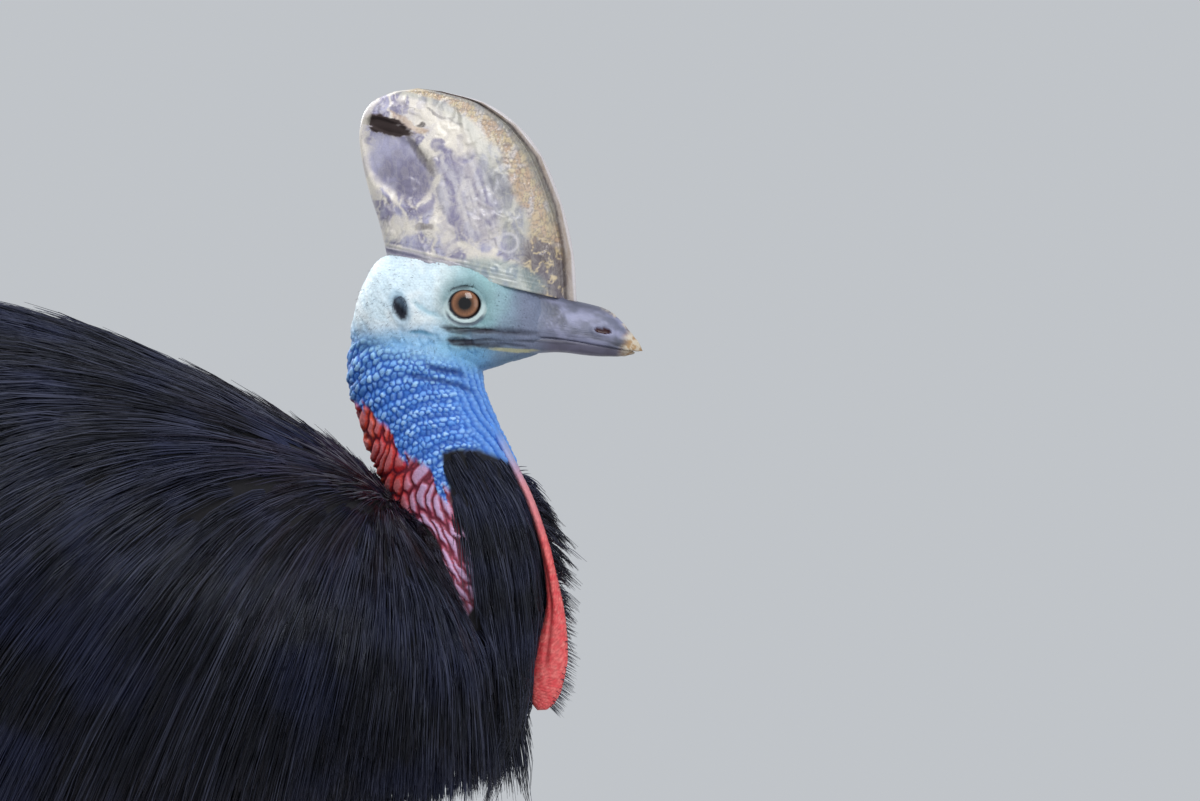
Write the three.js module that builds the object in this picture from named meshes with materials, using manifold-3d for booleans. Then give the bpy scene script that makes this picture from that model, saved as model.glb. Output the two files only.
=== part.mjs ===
// A southern cassowary standing at ease, life size, in millimetres.
// +X runs forward to the bill, +Y to the bird's left, +Z up, and the floor is z = 0.
// The trunk is a lofted core. Its coarse, hair-like plumage lies over it as overlapping tapered locks.
import * as THREE from "three";
import { mergeVertices } from "three/addons/utils/BufferGeometryUtils.js";
import Module from "manifold-3d";

const wasm = await Module();
wasm.setup();

const GAP = 0.3; // kept between neighbouring pieces
const HALF_GAP = GAP / 2 + 0.02;
const FAR = 900; // reaches past the whole bird
const RIGHT = -1;
const LEFT = 1;

// Trunk core under the plumage: x, top, widest height, bottom, half width.
const TRUNK = [
  [-425, 812, 790, 766, 22],
  [-398, 862, 780, 706, 72],
  [-340, 908, 765, 640, 122],
  [-250, 949, 752, 592, 166],
  [-130, 968, 745, 564, 190],
  [0, 961, 738, 552, 196],
  [120, 928, 728, 552, 184],
  [210, 889, 714, 562, 160],
  [290, 843, 700, 582, 130],
  [345, 790, 688, 602, 102],
  [388, 735, 676, 622, 68],
  [412, 702, 668, 638, 30],
];

// Neck, from inside the breast up into the skull: x, z, half depth, half width.
const NECK = [
  [330, 640, 55, 60],
  [352, 690, 58, 62],
  [371, 740, 56, 56],
  [378, 785, 50, 48],
  [370, 822, 49, 42],
  [355, 856, 48.5, 39],
  [343, 888, 48.5, 37.5],
  [338, 918, 50, 37],
  [340, 945, 44, 34],
];

// Skull with its skin: x, top, widest height, bottom, half width.
const SKULL = [
  [293, 959, 945, 928, 13],
  [299, 977.5, 948, 914, 24],
  [311, 997.5, 951, 905, 32],
  [332, 1003.5, 955, 904, 36],
  [352, 1003, 957, 907, 36.5],
  [372, 1002, 959, 911, 35.5],
  [392, 996, 956, 916, 32],
  [410, 988, 951, 922, 26],
  [428, 980, 947, 927, 20.5],
];

// Upper bill: x, ridge of the bill, half width. Its lower edge is the mouth line.
const UPPER_BILL = [
  [428.4, 979, 20],
  [440, 974, 17.5],
  [455, 968.5, 15],
  [470, 965, 13.8],
  [484, 960.5, 12],
  [494, 952.5, 9.4],
  [502, 943, 6.6],
  [508, 935, 3.6],
];
const BILL_TIP = [511, 929.5];

// Lower bill: x, underside, half width.
const LOWER_BILL = [
  [428.4, 927.6, 19],
  [448, 928.5, 15.5],
  [471, 926, 12],
  [488, 925.2, 8.6],
  [499, 926, 5.4],
];
const LOWER_BILL_TIP = [505, 928];

// The line where the bills close, from the gape under the eye to the tip: x, z.
const MOUTH = [
  [364, 939.5],
  [402, 940.5],
  [448, 938.2],
  [478, 933.8],
  [500, 929.8],
  [512, 928.8],
];

// Casque: its back edge and front edge from the base up to the crown, x and z, and half thickness there.
const CASQUE_BACK = [
  [317.5, 998],
  [311, 1026],
  [302, 1055],
  [296, 1086],
  [297.5, 1106],
  [306, 1119],
  [322, 1126.5],
];
const CASQUE_FRONT = [
  [461, 966],
  [458.5, 1003],
  [450, 1040],
  [435, 1077],
  [416, 1101],
  [391, 1118],
  [360, 1126.5],
];
const CASQUE_HALF = [25, 25, 22.5, 19, 15, 11, 6.5];
const CASQUE_CROWN = [340, 1129];
const CASQUE_KEEL_HALF = 2.2;

const EYE = { x: 376, z: 965, y: 29.5, across: 14.2, bulge: 9 };
const LID = { radius: 14.6, thick: 2.6, y: 34.4 };
const EAR = { x: 328, z: 962, wide: 5, tall: 9, deep: 6, y: 37.5 };
const NOSTRIL = { x: 484, z: 944.5, long: 8, tall: 2.6, deep: 3 };
const GAPE_GROOVE = 3.5;

// Right wattle of the pair, hanging from the front of the neck: x, y, z, half width across, half depth.
const WATTLE = [
  [400, 10, 866, 9.2, 3.2],
  [412, 10.2, 843, 9.4, 3.2],
  [425, 10.4, 816, 9.4, 3.2],
  [435.5, 10.5, 785, 9, 3.4],
  [442, 10.5, 755, 8, 4],
  [444.5, 10.5, 730, 7, 6.5],
  [442, 10.5, 702, 6.5, 11.5],
  [438.5, 10.5, 678, 6.5, 11.5],
  [436, 10.5, 664, 5, 7.5],
];

// Side of the neck: loose bare lobes in slanting columns.
const LOBE = { columns: 3, rows: 3, first: 66, step: 19, wide: 6.4, long: 18, proud: 2.8 };
// The nape's lobes are finer and lie closer.
const NAPE_LOBE = { columns: 2, rows: 2, first: 136, step: 26, wide: 5.4, long: 15, proud: 2 };

// Cuts in the XZ plane between the pieces of flesh, each from low to high.
const CUT_COLLAR = [
  [345, 0],
  [345, 790],
  [331, 807],
  [285, 880],
  [200, FAR + 300],
];
const CUT_RUMP = [
  [-372, 0],
  [-330, 690],
  [-240, FAR + 300],
];
const CUT_MID_NECK = [
  [250, 796],
  [317, 824],
  [404, 867],
  [480, 905],
];
const CUT_THROAT = [
  [250, 952],
  [285, 939],
  [396, 906],
  [470, 884],
];

// Leg, right side, relative to the foot's ball joint in x: x, y, z, half width, half depth.
const FEET_X = -48;
const FOOT_STAGGER = 34; // the right foot stands this far ahead of the middle, the left as far behind
const STANCE_HALF = 94;
const DRUMSTICK = [
  [108, 98, 668, 48, 72],
  [88, 99, 628, 50, 74],
  [52, 99, 572, 47, 66],
  [16, 98, 520, 41, 54],
  [-14, 97, 474, 33, 41],
  [-32, 96, 441, 26, 31],
];
const HOCK_CUT = 330;
const SHANK = [
  [-20, 96.5, 458, 22, 26],
  [-32, 96, 440.6, 22, 26],
  [-42, 95, 418, 20.5, 23.5],
  [-50, 94.5, 395, 19.5, 22],
  [-56, 94, 372, 22, 25],
  [-57, 94, 350, 24, 28],
  [-54, 94, 330, 21.5, 25],
  [-51, 94, 318, 19, 22],
];
const TARSUS = [
  [-56, 94, 345, 22.5, 26],
  [-54, 94, 330, 21.5, 25],
  [-50, 94, 312, 18.5, 21.5],
  [-40, 94, 240, 17.5, 20],
  [-27, 94, 160, 17.5, 19.5],
  [-14, 94, 95, 19, 20],
  [-5, 94, 60, 23, 23],
  [0, 94, 34, 28, 26],
  [2, 94, 14, 27, 25],
];
const TARSUS_PLATES = 10;
const TOES = {
  inner: { turn: -27, length: 84, start: 17, root: 17, tip: 12.5, tall: 15, pads: 2 },
  middle: { turn: 2, length: 148, start: 15, root: 19, tip: 13, tall: 17, pads: 4 },
  outer: { turn: 31, length: 104, start: 17, root: 16, tip: 11.5, tall: 14, pads: 3 },
};
const CLAWS = {
  inner: { length: 104, half: 9, tall: 10, drop: 7 },
  middle: { length: 44, half: 8.5, tall: 8.5, drop: 9 },
  outer: { length: 36, half: 7.5, tall: 7.5, drop: 8 },
};

// Vestigial wing, right side: a stub against the trunk and the bare quills that arc back from it.
const WING_STUB = [
  [172, 142, 642, 9, 14],
  [140, 149, 620, 11, 16],
  [106, 152, 598, 10, 14],
  [84, 152, 584, 8, 10],
];
const QUILLS = { count: 5, length: 215, spread: 24, root: 3.1, tip: 1.3 };

// Plumage locks.
const LOCK_SINK = 9;
const LOCK_STEPS = 3;
const LOCK_WIDTHS = [0.55, 1, 0.86];
const LOCK_THICK = [0.9, 1, 0.75];
const LOCK_RISE = [0, 0.55, 0.88, 1];
const LOCK_SPACING = 84;
const TIERS = [
  { angle: 0, length: 150, rise: 7 },
  { angle: 28, length: 175, rise: 12 },
  { angle: 58, length: 195, rise: 22 },
  { angle: 90, length: 180, rise: 26 },
  { angle: 116, length: 105, rise: 22 },
  { angle: 148, length: 70, rise: 18 },
];

const SKIN_BLUE = 0x2f6fd6;
const PLUMAGE_BLACK = 0x17161a;

const point = (x, y, z) => new THREE.Vector3(x, y, z);
const { clamp, lerp, smoothstep, degToRad } = THREE.MathUtils;

// Seeded random numbers from 0 to 1.
function randomSource(seed) {
  let state = seed;
  return () => {
    state = (state + 0x6d2b79f5) | 0;
    let mixed = Math.imul(state ^ (state >>> 15), 1 | state);
    mixed = (mixed + Math.imul(mixed ^ (mixed >>> 7), 61 | mixed)) ^ mixed;
    return ((mixed ^ (mixed >>> 14)) >>> 0) / 4294967296;
  };
}

// Smooth values of a table's other columns at a key in its rising first column.
function readTable(rows, key) {
  const last = rows.length - 1;
  const at = clamp(key, rows[0][0], rows[last][0]);
  let i = 0;
  while (i < last - 1 && rows[i + 1][0] < at) i += 1;
  const span = rows[i + 1][0] - rows[i][0];
  const t = (at - rows[i][0]) / span;
  const slope = (j, column) => {
    const a = rows[Math.max(j - 1, 0)];
    const b = rows[Math.min(j + 1, last)];
    return (b[column] - a[column]) / (b[0] - a[0]);
  };
  return rows[0].slice(1).map((_, c) => {
    const column = c + 1;
    const [p, q] = [rows[i][column], rows[i + 1][column]];
    const t2 = t * t;
    const t3 = t2 * t;
    return (
      (2 * t3 - 3 * t2 + 1) * p +
      (t3 - 2 * t2 + t) * span * slope(i, column) +
      (3 * t2 - 2 * t3) * q +
      (t3 - t2) * span * slope(i + 1, column)
    );
  });
}

// A table of stations read at evenly spaced places, counted along its rows.
function refine(rows, count) {
  const numbered = rows.map((row, i) => [i, ...row]);
  return Array.from({ length: count }, (_, i) => readTable(numbered, (i * (rows.length - 1)) / (count - 1)));
}

// A closed solid from points and triangles, turned to face outwards.
function solidOf(vertices, triangles) {
  const geometry = new THREE.BufferGeometry().setFromPoints(vertices).setIndex(triangles.flat());
  return solidFrom(geometry);
}

function solidFrom(geometry) {
  const bare = new THREE.BufferGeometry().setAttribute("position", geometry.getAttribute("position"));
  bare.setIndex(geometry.getIndex());
  const merged = mergeVertices(bare, 1e-3);
  const vertProperties = merged.attributes.position.array;
  const triVerts = new Uint32Array(merged.index.array);
  const make = () => new wasm.Manifold(new wasm.Mesh({ numProp: 3, vertProperties, triVerts }));
  const made = make();
  if (made.volume() > 0) return made;
  for (let i = 0; i < triVerts.length; i += 3) {
    [triVerts[i + 1], triVerts[i + 2]] = [triVerts[i + 2], triVerts[i + 1]];
  }
  return make();
}

// A solid through rings of equal count, closed by a pole at each end.
function loft(rings, startPole, endPole) {
  const sides = rings[0].length;
  const vertices = rings.flat();
  const triangles = [];
  for (let r = 0; r + 1 < rings.length; r += 1) {
    for (let s = 0; s < sides; s += 1) {
      const a = r * sides + s;
      const b = r * sides + ((s + 1) % sides);
      triangles.push([a, b, a + sides], [b, b + sides, a + sides]);
    }
  }
  const middle = (ring) => ring.reduce((sum, v) => sum.add(v), point(0, 0, 0)).divideScalar(sides);
  const start = vertices.push(startPole || middle(rings[0])) - 1;
  const end = vertices.push(endPole || middle(rings.at(-1))) - 1;
  const lastRing = (rings.length - 1) * sides;
  for (let s = 0; s < sides; s += 1) {
    const next = (s + 1) % sides;
    triangles.push([start, next, s], [end, lastRing + s, lastRing + next]);
  }
  return solidOf(vertices, triangles);
}

// Upright section across X: an egg outline round its widest height.
function eggRing(x, top, mid, bottom, half, sides) {
  return Array.from({ length: sides }, (_, i) => {
    const a = (2 * Math.PI * i) / sides;
    const tall = Math.cos(a) > 0 ? top - mid : mid - bottom;
    return point(x, half * Math.sin(a), mid + tall * Math.cos(a));
  });
}

// Rings of an oval tube along stations of x, y, z, half width and half depth.
function tubeRings(stations, sides, grow = 0) {
  const centres = stations.map(([x, y, z]) => point(x, y, z));
  const last = centres.length - 1;
  return stations.map(([, , , halfWidth, halfDepth], i) => {
    const along = centres[Math.min(i + 1, last)].clone().sub(centres[Math.max(i - 1, 0)]).normalize();
    const side = point(0, 1, 0).addScaledVector(along, -along.y).normalize();
    const front = side.clone().cross(along).normalize();
    return Array.from({ length: sides }, (_, s) => {
      const a = (2 * Math.PI * s) / sides;
      return centres[i]
        .clone()
        .addScaledVector(side, (halfWidth + grow) * Math.sin(a))
        .addScaledVector(front, (halfDepth + grow) * Math.cos(a));
    });
  });
}

// An oval tube with domed ends that stand out by a dome height and the growth.
function tube(stations, sides, { grow = 0, startDome = 0, endDome = 0 } = {}) {
  const centres = stations.map(([x, y, z]) => point(x, y, z));
  const startDirection = centres[0].clone().sub(centres[1]).normalize();
  const endDirection = centres.at(-1).clone().sub(centres.at(-2)).normalize();
  return loft(
    tubeRings(stations, sides, grow),
    centres[0].clone().addScaledVector(startDirection, startDome + grow),
    centres.at(-1).clone().addScaledVector(endDirection, endDome + grow),
  );
}

// An ellipsoid from a sphere of few sides.
function ellipsoid(centre, [rx, ry, rz], wide = 12, tall = 8) {
  const ball = new THREE.SphereGeometry(1, wide, tall).scale(rx, ry, rz);
  return solidFrom(ball.translate(centre.x, centre.y, centre.z));
}

const mirrored = (stations, side) => stations.map(([x, y, z, ...radii]) => [x, side * y, z, ...radii]);
const joined = (solids) => solids.reduce((sum, solid) => sum.add(solid));

// A block that fills the XZ outline, right across the bird.
function slab(outline, halfAcross = FAR) {
  const shape = new THREE.Shape(outline.map(([x, z]) => new THREE.Vector2(x, z)));
  const block = new THREE.ExtrudeGeometry(shape, { depth: 2 * halfAcross, bevelEnabled: false });
  block.rotateX(Math.PI / 2).translate(0, halfAcross, 0);
  return solidFrom(block);
}

const layer = (low, high) => slab([[-FAR, low], [-FAR, high], [FAR, high], [FAR, low]]);
const aboveFloor = () => layer(0, FAR);
const shifted = (cut, dx, dz) => cut.map(([x, z]) => [x + dx, z + dz]);
// What lies behind or ahead of a cut that rises, and over or under a cut that runs forward.
const behind = (cut) => slab([[-FAR, cut[0][1]], ...shifted(cut, -HALF_GAP * 1.3, 0), [-FAR, cut.at(-1)[1]]]);
const ahead = (cut) => slab([[FAR, cut[0][1]], ...shifted(cut, HALF_GAP * 1.3, 0), [FAR, cut.at(-1)[1]]]);
const under = (cut) => slab([[cut[0][0], -1], ...shifted(cut, 0, -HALF_GAP * 1.3), [cut.at(-1)[0], -1]]);
const over = (cut) => slab([[cut[0][0], FAR + 400], ...shifted(cut, 0, HALF_GAP * 1.3), [cut.at(-1)[0], FAR + 400]]);

// Rough distance outside an oval of two half sizes, from offsets off its centre.
function ovalDistance(a, b, halfA, halfB) {
  const reach = Math.hypot(a, b);
  const scaled = Math.hypot(a / halfA, b / halfB);
  return scaled < 1e-6 ? -Math.min(halfA, halfB) : reach - reach / scaled;
}

function trunkDistance(p) {
  const [top, mid, bottom, half] = readTable(TRUNK, p.x);
  const tall = p.z > mid ? top - mid : mid - bottom;
  const across = ovalDistance(p.y, p.z - mid, half, tall);
  const past = Math.max(TRUNK[0][0] - p.x, p.x - TRUNK.at(-1)[0], 0);
  return past > 0 ? Math.hypot(Math.max(across, 0), past) : across;
}

// Distance outside a tube of fine stations, by its nearest station.
function tubeDistance(p, stations) {
  let best = Infinity;
  stations.forEach(([x, y, z, halfWidth, halfDepth], i) => {
    const centre = point(x, y, z);
    const [nx, ny, nz] = stations[Math.min(i + 1, stations.length - 1)];
    const [px, py, pz] = stations[Math.max(i - 1, 0)];
    const along = point(nx - px, ny - py, nz - pz).normalize();
    const off = p.clone().sub(centre);
    const lengthwise = off.dot(along);
    const side = point(0, 1, 0).addScaledVector(along, -along.y).normalize();
    const front = side.clone().cross(along);
    const across = ovalDistance(off.dot(side), off.dot(front), halfWidth, halfDepth);
    best = Math.min(best, Math.hypot(Math.max(across, 0), lengthwise) + Math.min(across, 0));
  });
  return best;
}

const neckStations = refine(NECK.map(([x, z, deep, wide]) => [x, 0, z, wide, deep]), 25);
const neckDistance = (p) => tubeDistance(p, neckStations);
const bodyDistance = (p) => Math.min(trunkDistance(p), neckDistance(p));

// The way straight out of a surface that a distance function describes.
function outward(distance, p, step = 12) {
  const slope = (axis) => {
    const ahead = p.clone();
    const back = p.clone();
    ahead[axis] += step;
    back[axis] -= step;
    return distance(ahead) - distance(back);
  };
  return point(slope("x"), slope("y"), slope("z")).normalize();
}

// The lie of the coat: back along the spine, ever more downwards on the flank, straight down at the breast and rump.
function coatLie(p) {
  const height = clamp((p.z - 660) / 280, 0, 1);
  const ends = smoothstep(p.x, -400, -180) * (1 - 0.85 * smoothstep(p.x, 250, 390));
  const backward = lerp(0.22, 1.05, height) * lerp(0.3, 1, ends);
  return point(-backward, 0, -1).normalize();
}

// The line of one lock: it springs from under the surface, slides along it and hangs free where the surface turns in.
function lockLine(root, distance, lie, length, rise) {
  let normal = outward(distance, root);
  const line = [root.clone().addScaledVector(normal, -LOCK_SINK)];
  let p = root.clone();
  for (let i = 1; i <= LOCK_STEPS; i += 1) {
    const way = lie(p);
    const into = way.dot(normal);
    if (into < 0 || normal.z > 0.3) way.addScaledVector(normal, -into);
    p = p.clone().addScaledVector(way.normalize(), length / LOCK_STEPS);
    normal = outward(distance, p);
    const wanted = rise * LOCK_RISE[i];
    const gap = distance(p);
    if (gap < wanted || normal.z > 0.3) p.addScaledVector(normal, wanted - gap);
    line.push(p);
  }
  return line;
}

// A lock: a closed flat strip of three-cornered section, with its ridge outwards and its tip a point.
function lock(line, distance, width, thick) {
  const rings = line.slice(0, -1).map((p, i) => {
    const along = line[i + 1].clone().sub(line[Math.max(i - 1, 0)]).normalize();
    const out = outward(distance, p);
    out.addScaledVector(along, -out.dot(along)).normalize();
    const side = along.clone().cross(out);
    const half = (width * LOCK_WIDTHS[i]) / 2;
    return [
      p.clone().addScaledVector(side, half).addScaledVector(out, -0.12 * half),
      p.clone().addScaledVector(out, thick * LOCK_THICK[i]),
      p.clone().addScaledVector(side, -half).addScaledVector(out, -0.12 * half),
    ];
  });
  const vertices = [...rings.flat(), line.at(-1)];
  const tip = vertices.length - 1;
  const triangles = [[0, 1, 2]];
  for (let r = 0; r + 1 < rings.length; r += 1) {
    for (let s = 0; s < 3; s += 1) {
      const a = 3 * r + s;
      const b = 3 * r + ((s + 1) % 3);
      triangles.push([a, a + 3, b], [b, a + 3, b + 3]);
    }
  }
  const lastRing = 3 * (rings.length - 1);
  for (let s = 0; s < 3; s += 1) triangles.push([lastRing + s, tip, lastRing + ((s + 1) % 3)]);
  return solidOf(vertices, triangles);
}

// Places at even steps along one height angle of the trunk, from the rump forward.
function tierPlaces(angle, spacing, offset) {
  const a = degToRad(angle);
  const places = [];
  let previous = null;
  let walked = spacing * (1 - offset);
  for (let x = TRUNK[0][0] + 15; x < TRUNK.at(-1)[0] - 4; x += 3) {
    const [top, mid, bottom, half] = readTable(TRUNK, x);
    const tall = Math.cos(a) > 0 ? top - mid : mid - bottom;
    const p = point(x, half * Math.sin(a), mid + tall * Math.cos(a));
    if (previous) walked += p.distanceTo(previous);
    previous = p;
    if (walked < spacing) continue;
    walked -= spacing;
    places.push(p);
  }
  return places;
}

// Which piece of the trunk a place belongs to.
function pieceAt(p) {
  const cutX = (cut) => {
    const i = clamp(cut.findIndex(([, z]) => z > p.z), 1, cut.length - 1);
    const t = (p.z - cut[i - 1][1]) / (cut[i][1] - cut[i - 1][1]);
    return lerp(cut[i - 1][0], cut[i][0], t);
  };
  if (p.x > cutX(CUT_COLLAR)) return "breast";
  return p.x < cutX(CUT_RUMP) ? "tail" : "torso";
}

const footX = (side) => FEET_X + (side === RIGHT ? FOOT_STAGGER : -FOOT_STAGGER);
const legStations = (rows, side) => mirrored(rows, side).map(([x, ...rest]) => [x + footX(side), ...rest]);
const fineDrumsticks = [RIGHT, LEFT].map((side) => refine(legStations(DRUMSTICK, side), 12));

// Quill lines fan from the end of the stub and arc back and down along the flank.
function quillStations(side, index) {
  const from = WING_STUB.at(-1);
  const fan = degToRad(8 + (QUILLS.spread * index) / (QUILLS.count - 1));
  const length = QUILLS.length * (1 - 0.09 * Math.abs(index - 1.5));
  const start = point(from[0] + 26 - 9 * index, side * from[1], from[2] + 20 - 8 * index);
  return Array.from({ length: 5 }, (_, i) => {
    const t = i / 4;
    const bend = fan + 0.3 * t;
    return [
      start.x - length * t * Math.cos(bend),
      start.y + side * 8 * Math.sin(Math.PI * t * 0.7),
      start.z - length * t * Math.sin(bend),
      lerp(QUILLS.root, QUILLS.tip, t),
      lerp(QUILLS.root, QUILLS.tip, t),
    ];
  });
}

function wing(side, grow = 0) {
  const stub = tube(mirrored(WING_STUB, side), 7, { grow, startDome: 5, endDome: 5 });
  const quills = Array.from({ length: QUILLS.count }, (_, k) =>
    tube(quillStations(side, k), 4, { grow, startDome: 1, endDome: 3 }),
  );
  return joined([stub, ...quills]);
}

// True where a lock would run through a leg, a wing's quills or a wattle.
function blocked(line) {
  const obstacles = [
    ...fineDrumsticks,
    ...[RIGHT, LEFT].map((side) => mirrored(WATTLE, side)),
    ...[RIGHT, LEFT].flatMap((side) => Array.from({ length: QUILLS.count }, (_, k) => quillStations(side, k))),
  ];
  return line.slice(1).some((p) => obstacles.some((stations) => tubeDistance(p, stations) < 9));
}

// All the locks of the trunk, sorted by the piece they grow from.
function trunkLocks() {
  const random = randomSource(11);
  const grown = { breast: [], torso: [], tail: [] };
  TIERS.forEach(({ angle, length, rise }, tier) => {
    const sides = angle === 0 ? [1] : [RIGHT, LEFT];
    sides.forEach((side) => {
      tierPlaces(angle, LOCK_SPACING, tier % 2 ? 0.5 : 0).forEach((place) => {
        const root = point(place.x + 8 * (random() - 0.5), side * place.y, place.z);
        if (neckDistance(root) < (tier < 2 ? 22 : 3)) return;
        const piece = pieceAt(root);
        const nearCollar = smoothstep(root.x, 190, 330);
        const nearRump = 1 - smoothstep(root.x, -400, -250);
        const long = length * lerp(1, 0.55, nearCollar) * lerp(1, 1.25, nearRump) * (0.9 + 0.2 * random());
        const proud = rise * lerp(1, 0.62, nearCollar) * lerp(1, 1.2, nearRump);
        const line = lockLine(root, bodyDistance, coatLie, long, proud);
        if (blocked(line)) return;
        const slim = lerp(1, 0.8, nearCollar) * lerp(1, 0.6, nearRump);
        const width = LOCK_SPACING * (0.9 + 0.12 * random()) * slim;
        grown[piece].push(lock(line, bodyDistance, width, 7 * (0.85 + 0.3 * random())));
      });
    });
  });
  return grown;
}

// Feathered front of the neck: rings of locks that puff forward beside the wattles and hang over the breast.
function throatLocks() {
  const random = randomSource(19);
  const locks = [];
  const lie = () => point(0.12, 0, -1).normalize();
  for (let row = 0; row < 5; row += 1) {
    const [x, , z, wide, deep] = neckStations[17 - 3 * row];
    for (const side of [RIGHT, LEFT]) {
      for (let column = 0; column < 2; column += 1) {
        const angle = degToRad(33 + 25 * column + (row % 2 ? 6 : 0));
        const root = point(x + deep * Math.cos(angle), side * wide * Math.sin(angle), z);
        const long = lerp(92, 128, row / 4) * (0.9 + 0.2 * random());
        const line = lockLine(root, bodyDistance, lie, long, lerp(22, 30, random()));
        if (blocked(line)) continue;
        locks.push(lock(line, bodyDistance, 24 + 5 * random(), 5));
      }
    }
  }
  return locks;
}

// Raised lobes of bare skin in columns round the neck, each a long low bead.
function skinLobes({ columns, rows, first, step, wide, long, proud }, from, random) {
  const lobes = [];
  for (let row = 0; row < rows; row += 1) {
    for (let column = 0; column < columns; column += 1) {
      const place = from - 2.6 * row - (column % 2 ? 1.2 : 0) - 0.9 * column;
      const [x, , z, halfWide, deep] = readTable(neckStations.map((s, i) => [i, ...s]), place);
      const [nx, , nz] = readTable(neckStations.map((s, i) => [i, ...s]), place - 0.6);
      const tilt = Math.atan2(nx - x, z - nz);
      for (const side of [RIGHT, LEFT]) {
        const angle = degToRad(first + step * column);
        const bead = new THREE.SphereGeometry(1, 6, 4);
        bead.rotateX(Math.PI / 2).scale(wide, proud + 2, long * (0.85 + 0.3 * random()));
        bead.rotateZ(Math.PI / 2 - side * angle + Math.PI / 2 + (side === LEFT ? Math.PI : 0));
        bead.rotateY(-tilt * 1.1);
        bead.translate(x + (deep - 1.2) * Math.cos(angle), side * (halfWide - 1.2) * Math.sin(angle), z);
        lobes.push(solidFrom(bead));
      }
    }
  }
  return lobes;
}

function trunkCore(grow = 0) {
  const rows = Array.from({ length: 13 }, (_, i) => {
    const x = lerp(TRUNK[0][0], TRUNK.at(-1)[0], i / 12);
    const [top, mid, bottom, half] = readTable(TRUNK, x);
    return eggRing(x, top + grow, mid, bottom - grow, half + grow, 16);
  });
  const rear = TRUNK[0];
  const front = TRUNK.at(-1);
  return loft(rows, point(rear[0] - 6, 0, rear[2]), point(front[0] + 4, 0, front[2]));
}

function neckCore(grow = 0) {
  return tube(refine(neckStations, 10), 16, { grow, startDome: 4, endDome: 4 });
}

function skullCore(grow = 0) {
  const xs = Array.from({ length: 12 }, (_, i) => lerp(SKULL[0][0], SKULL.at(-1)[0], i / 11));
  const rings = xs.map((x) => {
    const [top, mid, bottom, half] = readTable(SKULL, x);
    return eggRing(x, top + grow, mid, bottom - grow, half + grow, 16);
  });
  return loft(rings, point(SKULL[0][0] - 3 - grow, 0, 944));
}

function eyeball(side, grow = 0) {
  const centre = point(EYE.x, side * EYE.y, EYE.z);
  const ball = new THREE.SphereGeometry(1, 14, 7).rotateX(Math.PI / 2);
  ball.scale(EYE.across + grow, EYE.bulge + grow, EYE.across + grow);
  return solidFrom(ball.translate(centre.x, centre.y, centre.z));
}

// Lids: a rim round the eye, thicker under it, with its plane turned a little forward.
function lids(side) {
  const rim = new THREE.TorusGeometry(LID.radius, LID.thick, 4, 14).rotateX(Math.PI / 2);
  rim.scale(1, 1.2, 0.97).rotateZ(-side * 0.05);
  return solidFrom(rim.translate(EYE.x, side * LID.y, EYE.z - 0.5));
}

function mouthGroove(side) {
  const rows = [364, 380, 396, 412, 429].map((x) => [x, readTable(MOUTH, x)[0], readTable(SKULL, x)]);
  const rings = rows.map(([x, z, [top, mid, bottom, half]], i) => {
    const tall = z > mid ? top - mid : mid - bottom;
    const surface = half * Math.sqrt(Math.max(0, 1 - ((z - mid) / tall) ** 2));
    const inner = surface - (i === 0 ? 0.6 : GAPE_GROOVE);
    const open = i === 0 ? 0.3 : 0.9;
    return [
      point(x, side * inner, z),
      point(x, side * (surface + 6), z + open),
      point(x, side * (surface + 6), z - open),
    ];
  });
  return loft(rings);
}

function head() {
  const bare = joined([skullCore(), neckCore()]).intersect(over(CUT_THROAT)).intersect(behind([[428, 0], [428, FAR + 400]]));
  const rimmed = joined([bare, lids(RIGHT), lids(LEFT)]);
  const cuts = [RIGHT, LEFT].flatMap((side) => [
    eyeball(side, GAP),
    mouthGroove(side),
    ellipsoid(point(EAR.x, side * EAR.y, EAR.z), [EAR.wide, EAR.deep, EAR.tall], 8, 6),
  ]);
  return cuts.reduce((solid, cut) => solid.subtract(cut), rimmed);
}

// Section of the upper bill: flat below at the mouth line, ridged above.
function upperBillRing(x, ridge, half) {
  const [mouth] = readTable(MOUTH, x);
  const low = mouth + HALF_GAP;
  const outline = [
    [0, 1],
    [0.34, 0.93],
    [0.68, 0.66],
    [0.93, 0.3],
    [1, 0.08],
    [0.8, 0],
  ];
  const rightHalf = outline.map(([across, up]) => point(x, half * across, low + (ridge - low) * up));
  const leftHalf = outline.slice(1).reverse().map(([across, up]) => point(x, -half * across, low + (ridge - low) * up));
  return [...rightHalf, ...leftHalf];
}

function upperBill(grow = 0) {
  const rings = refine(UPPER_BILL, 10).map(([x, ridge, half]) => upperBillRing(x, ridge + grow, half + grow));
  return loft(rings, null, point(BILL_TIP[0], 0, BILL_TIP[1]));
}

function lowerBill() {
  const rings = refine(LOWER_BILL, 6).map(([x, low, half]) => {
    const top = readTable(MOUTH, x)[0] - HALF_GAP;
    const outline = [
      [0, 1],
      [0.86, 1],
      [0.94, 0.72],
      [0.72, 0.24],
      [0.36, 0.02],
      [0, 0],
    ];
    const at = ([across, up], side) => point(x, side * half * across, low + (top - low) * up);
    return [...outline.map((o) => at(o, 1)), ...outline.slice(1, -1).reverse().map((o) => at(o, -1))];
  });
  return loft(rings, null, point(LOWER_BILL_TIP[0], 0, LOWER_BILL_TIP[1]));
}

function billWithNostrils() {
  const pits = [RIGHT, LEFT].map((side) => {
    const pit = new THREE.SphereGeometry(1, 8, 6).scale(NOSTRIL.long, NOSTRIL.deep, NOSTRIL.tall);
    pit.rotateY(0.12).translate(NOSTRIL.x, side * 11, NOSTRIL.z);
    return solidFrom(pit);
  });
  return pits.reduce((solid, pit) => solid.subtract(pit), upperBill());
}

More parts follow.
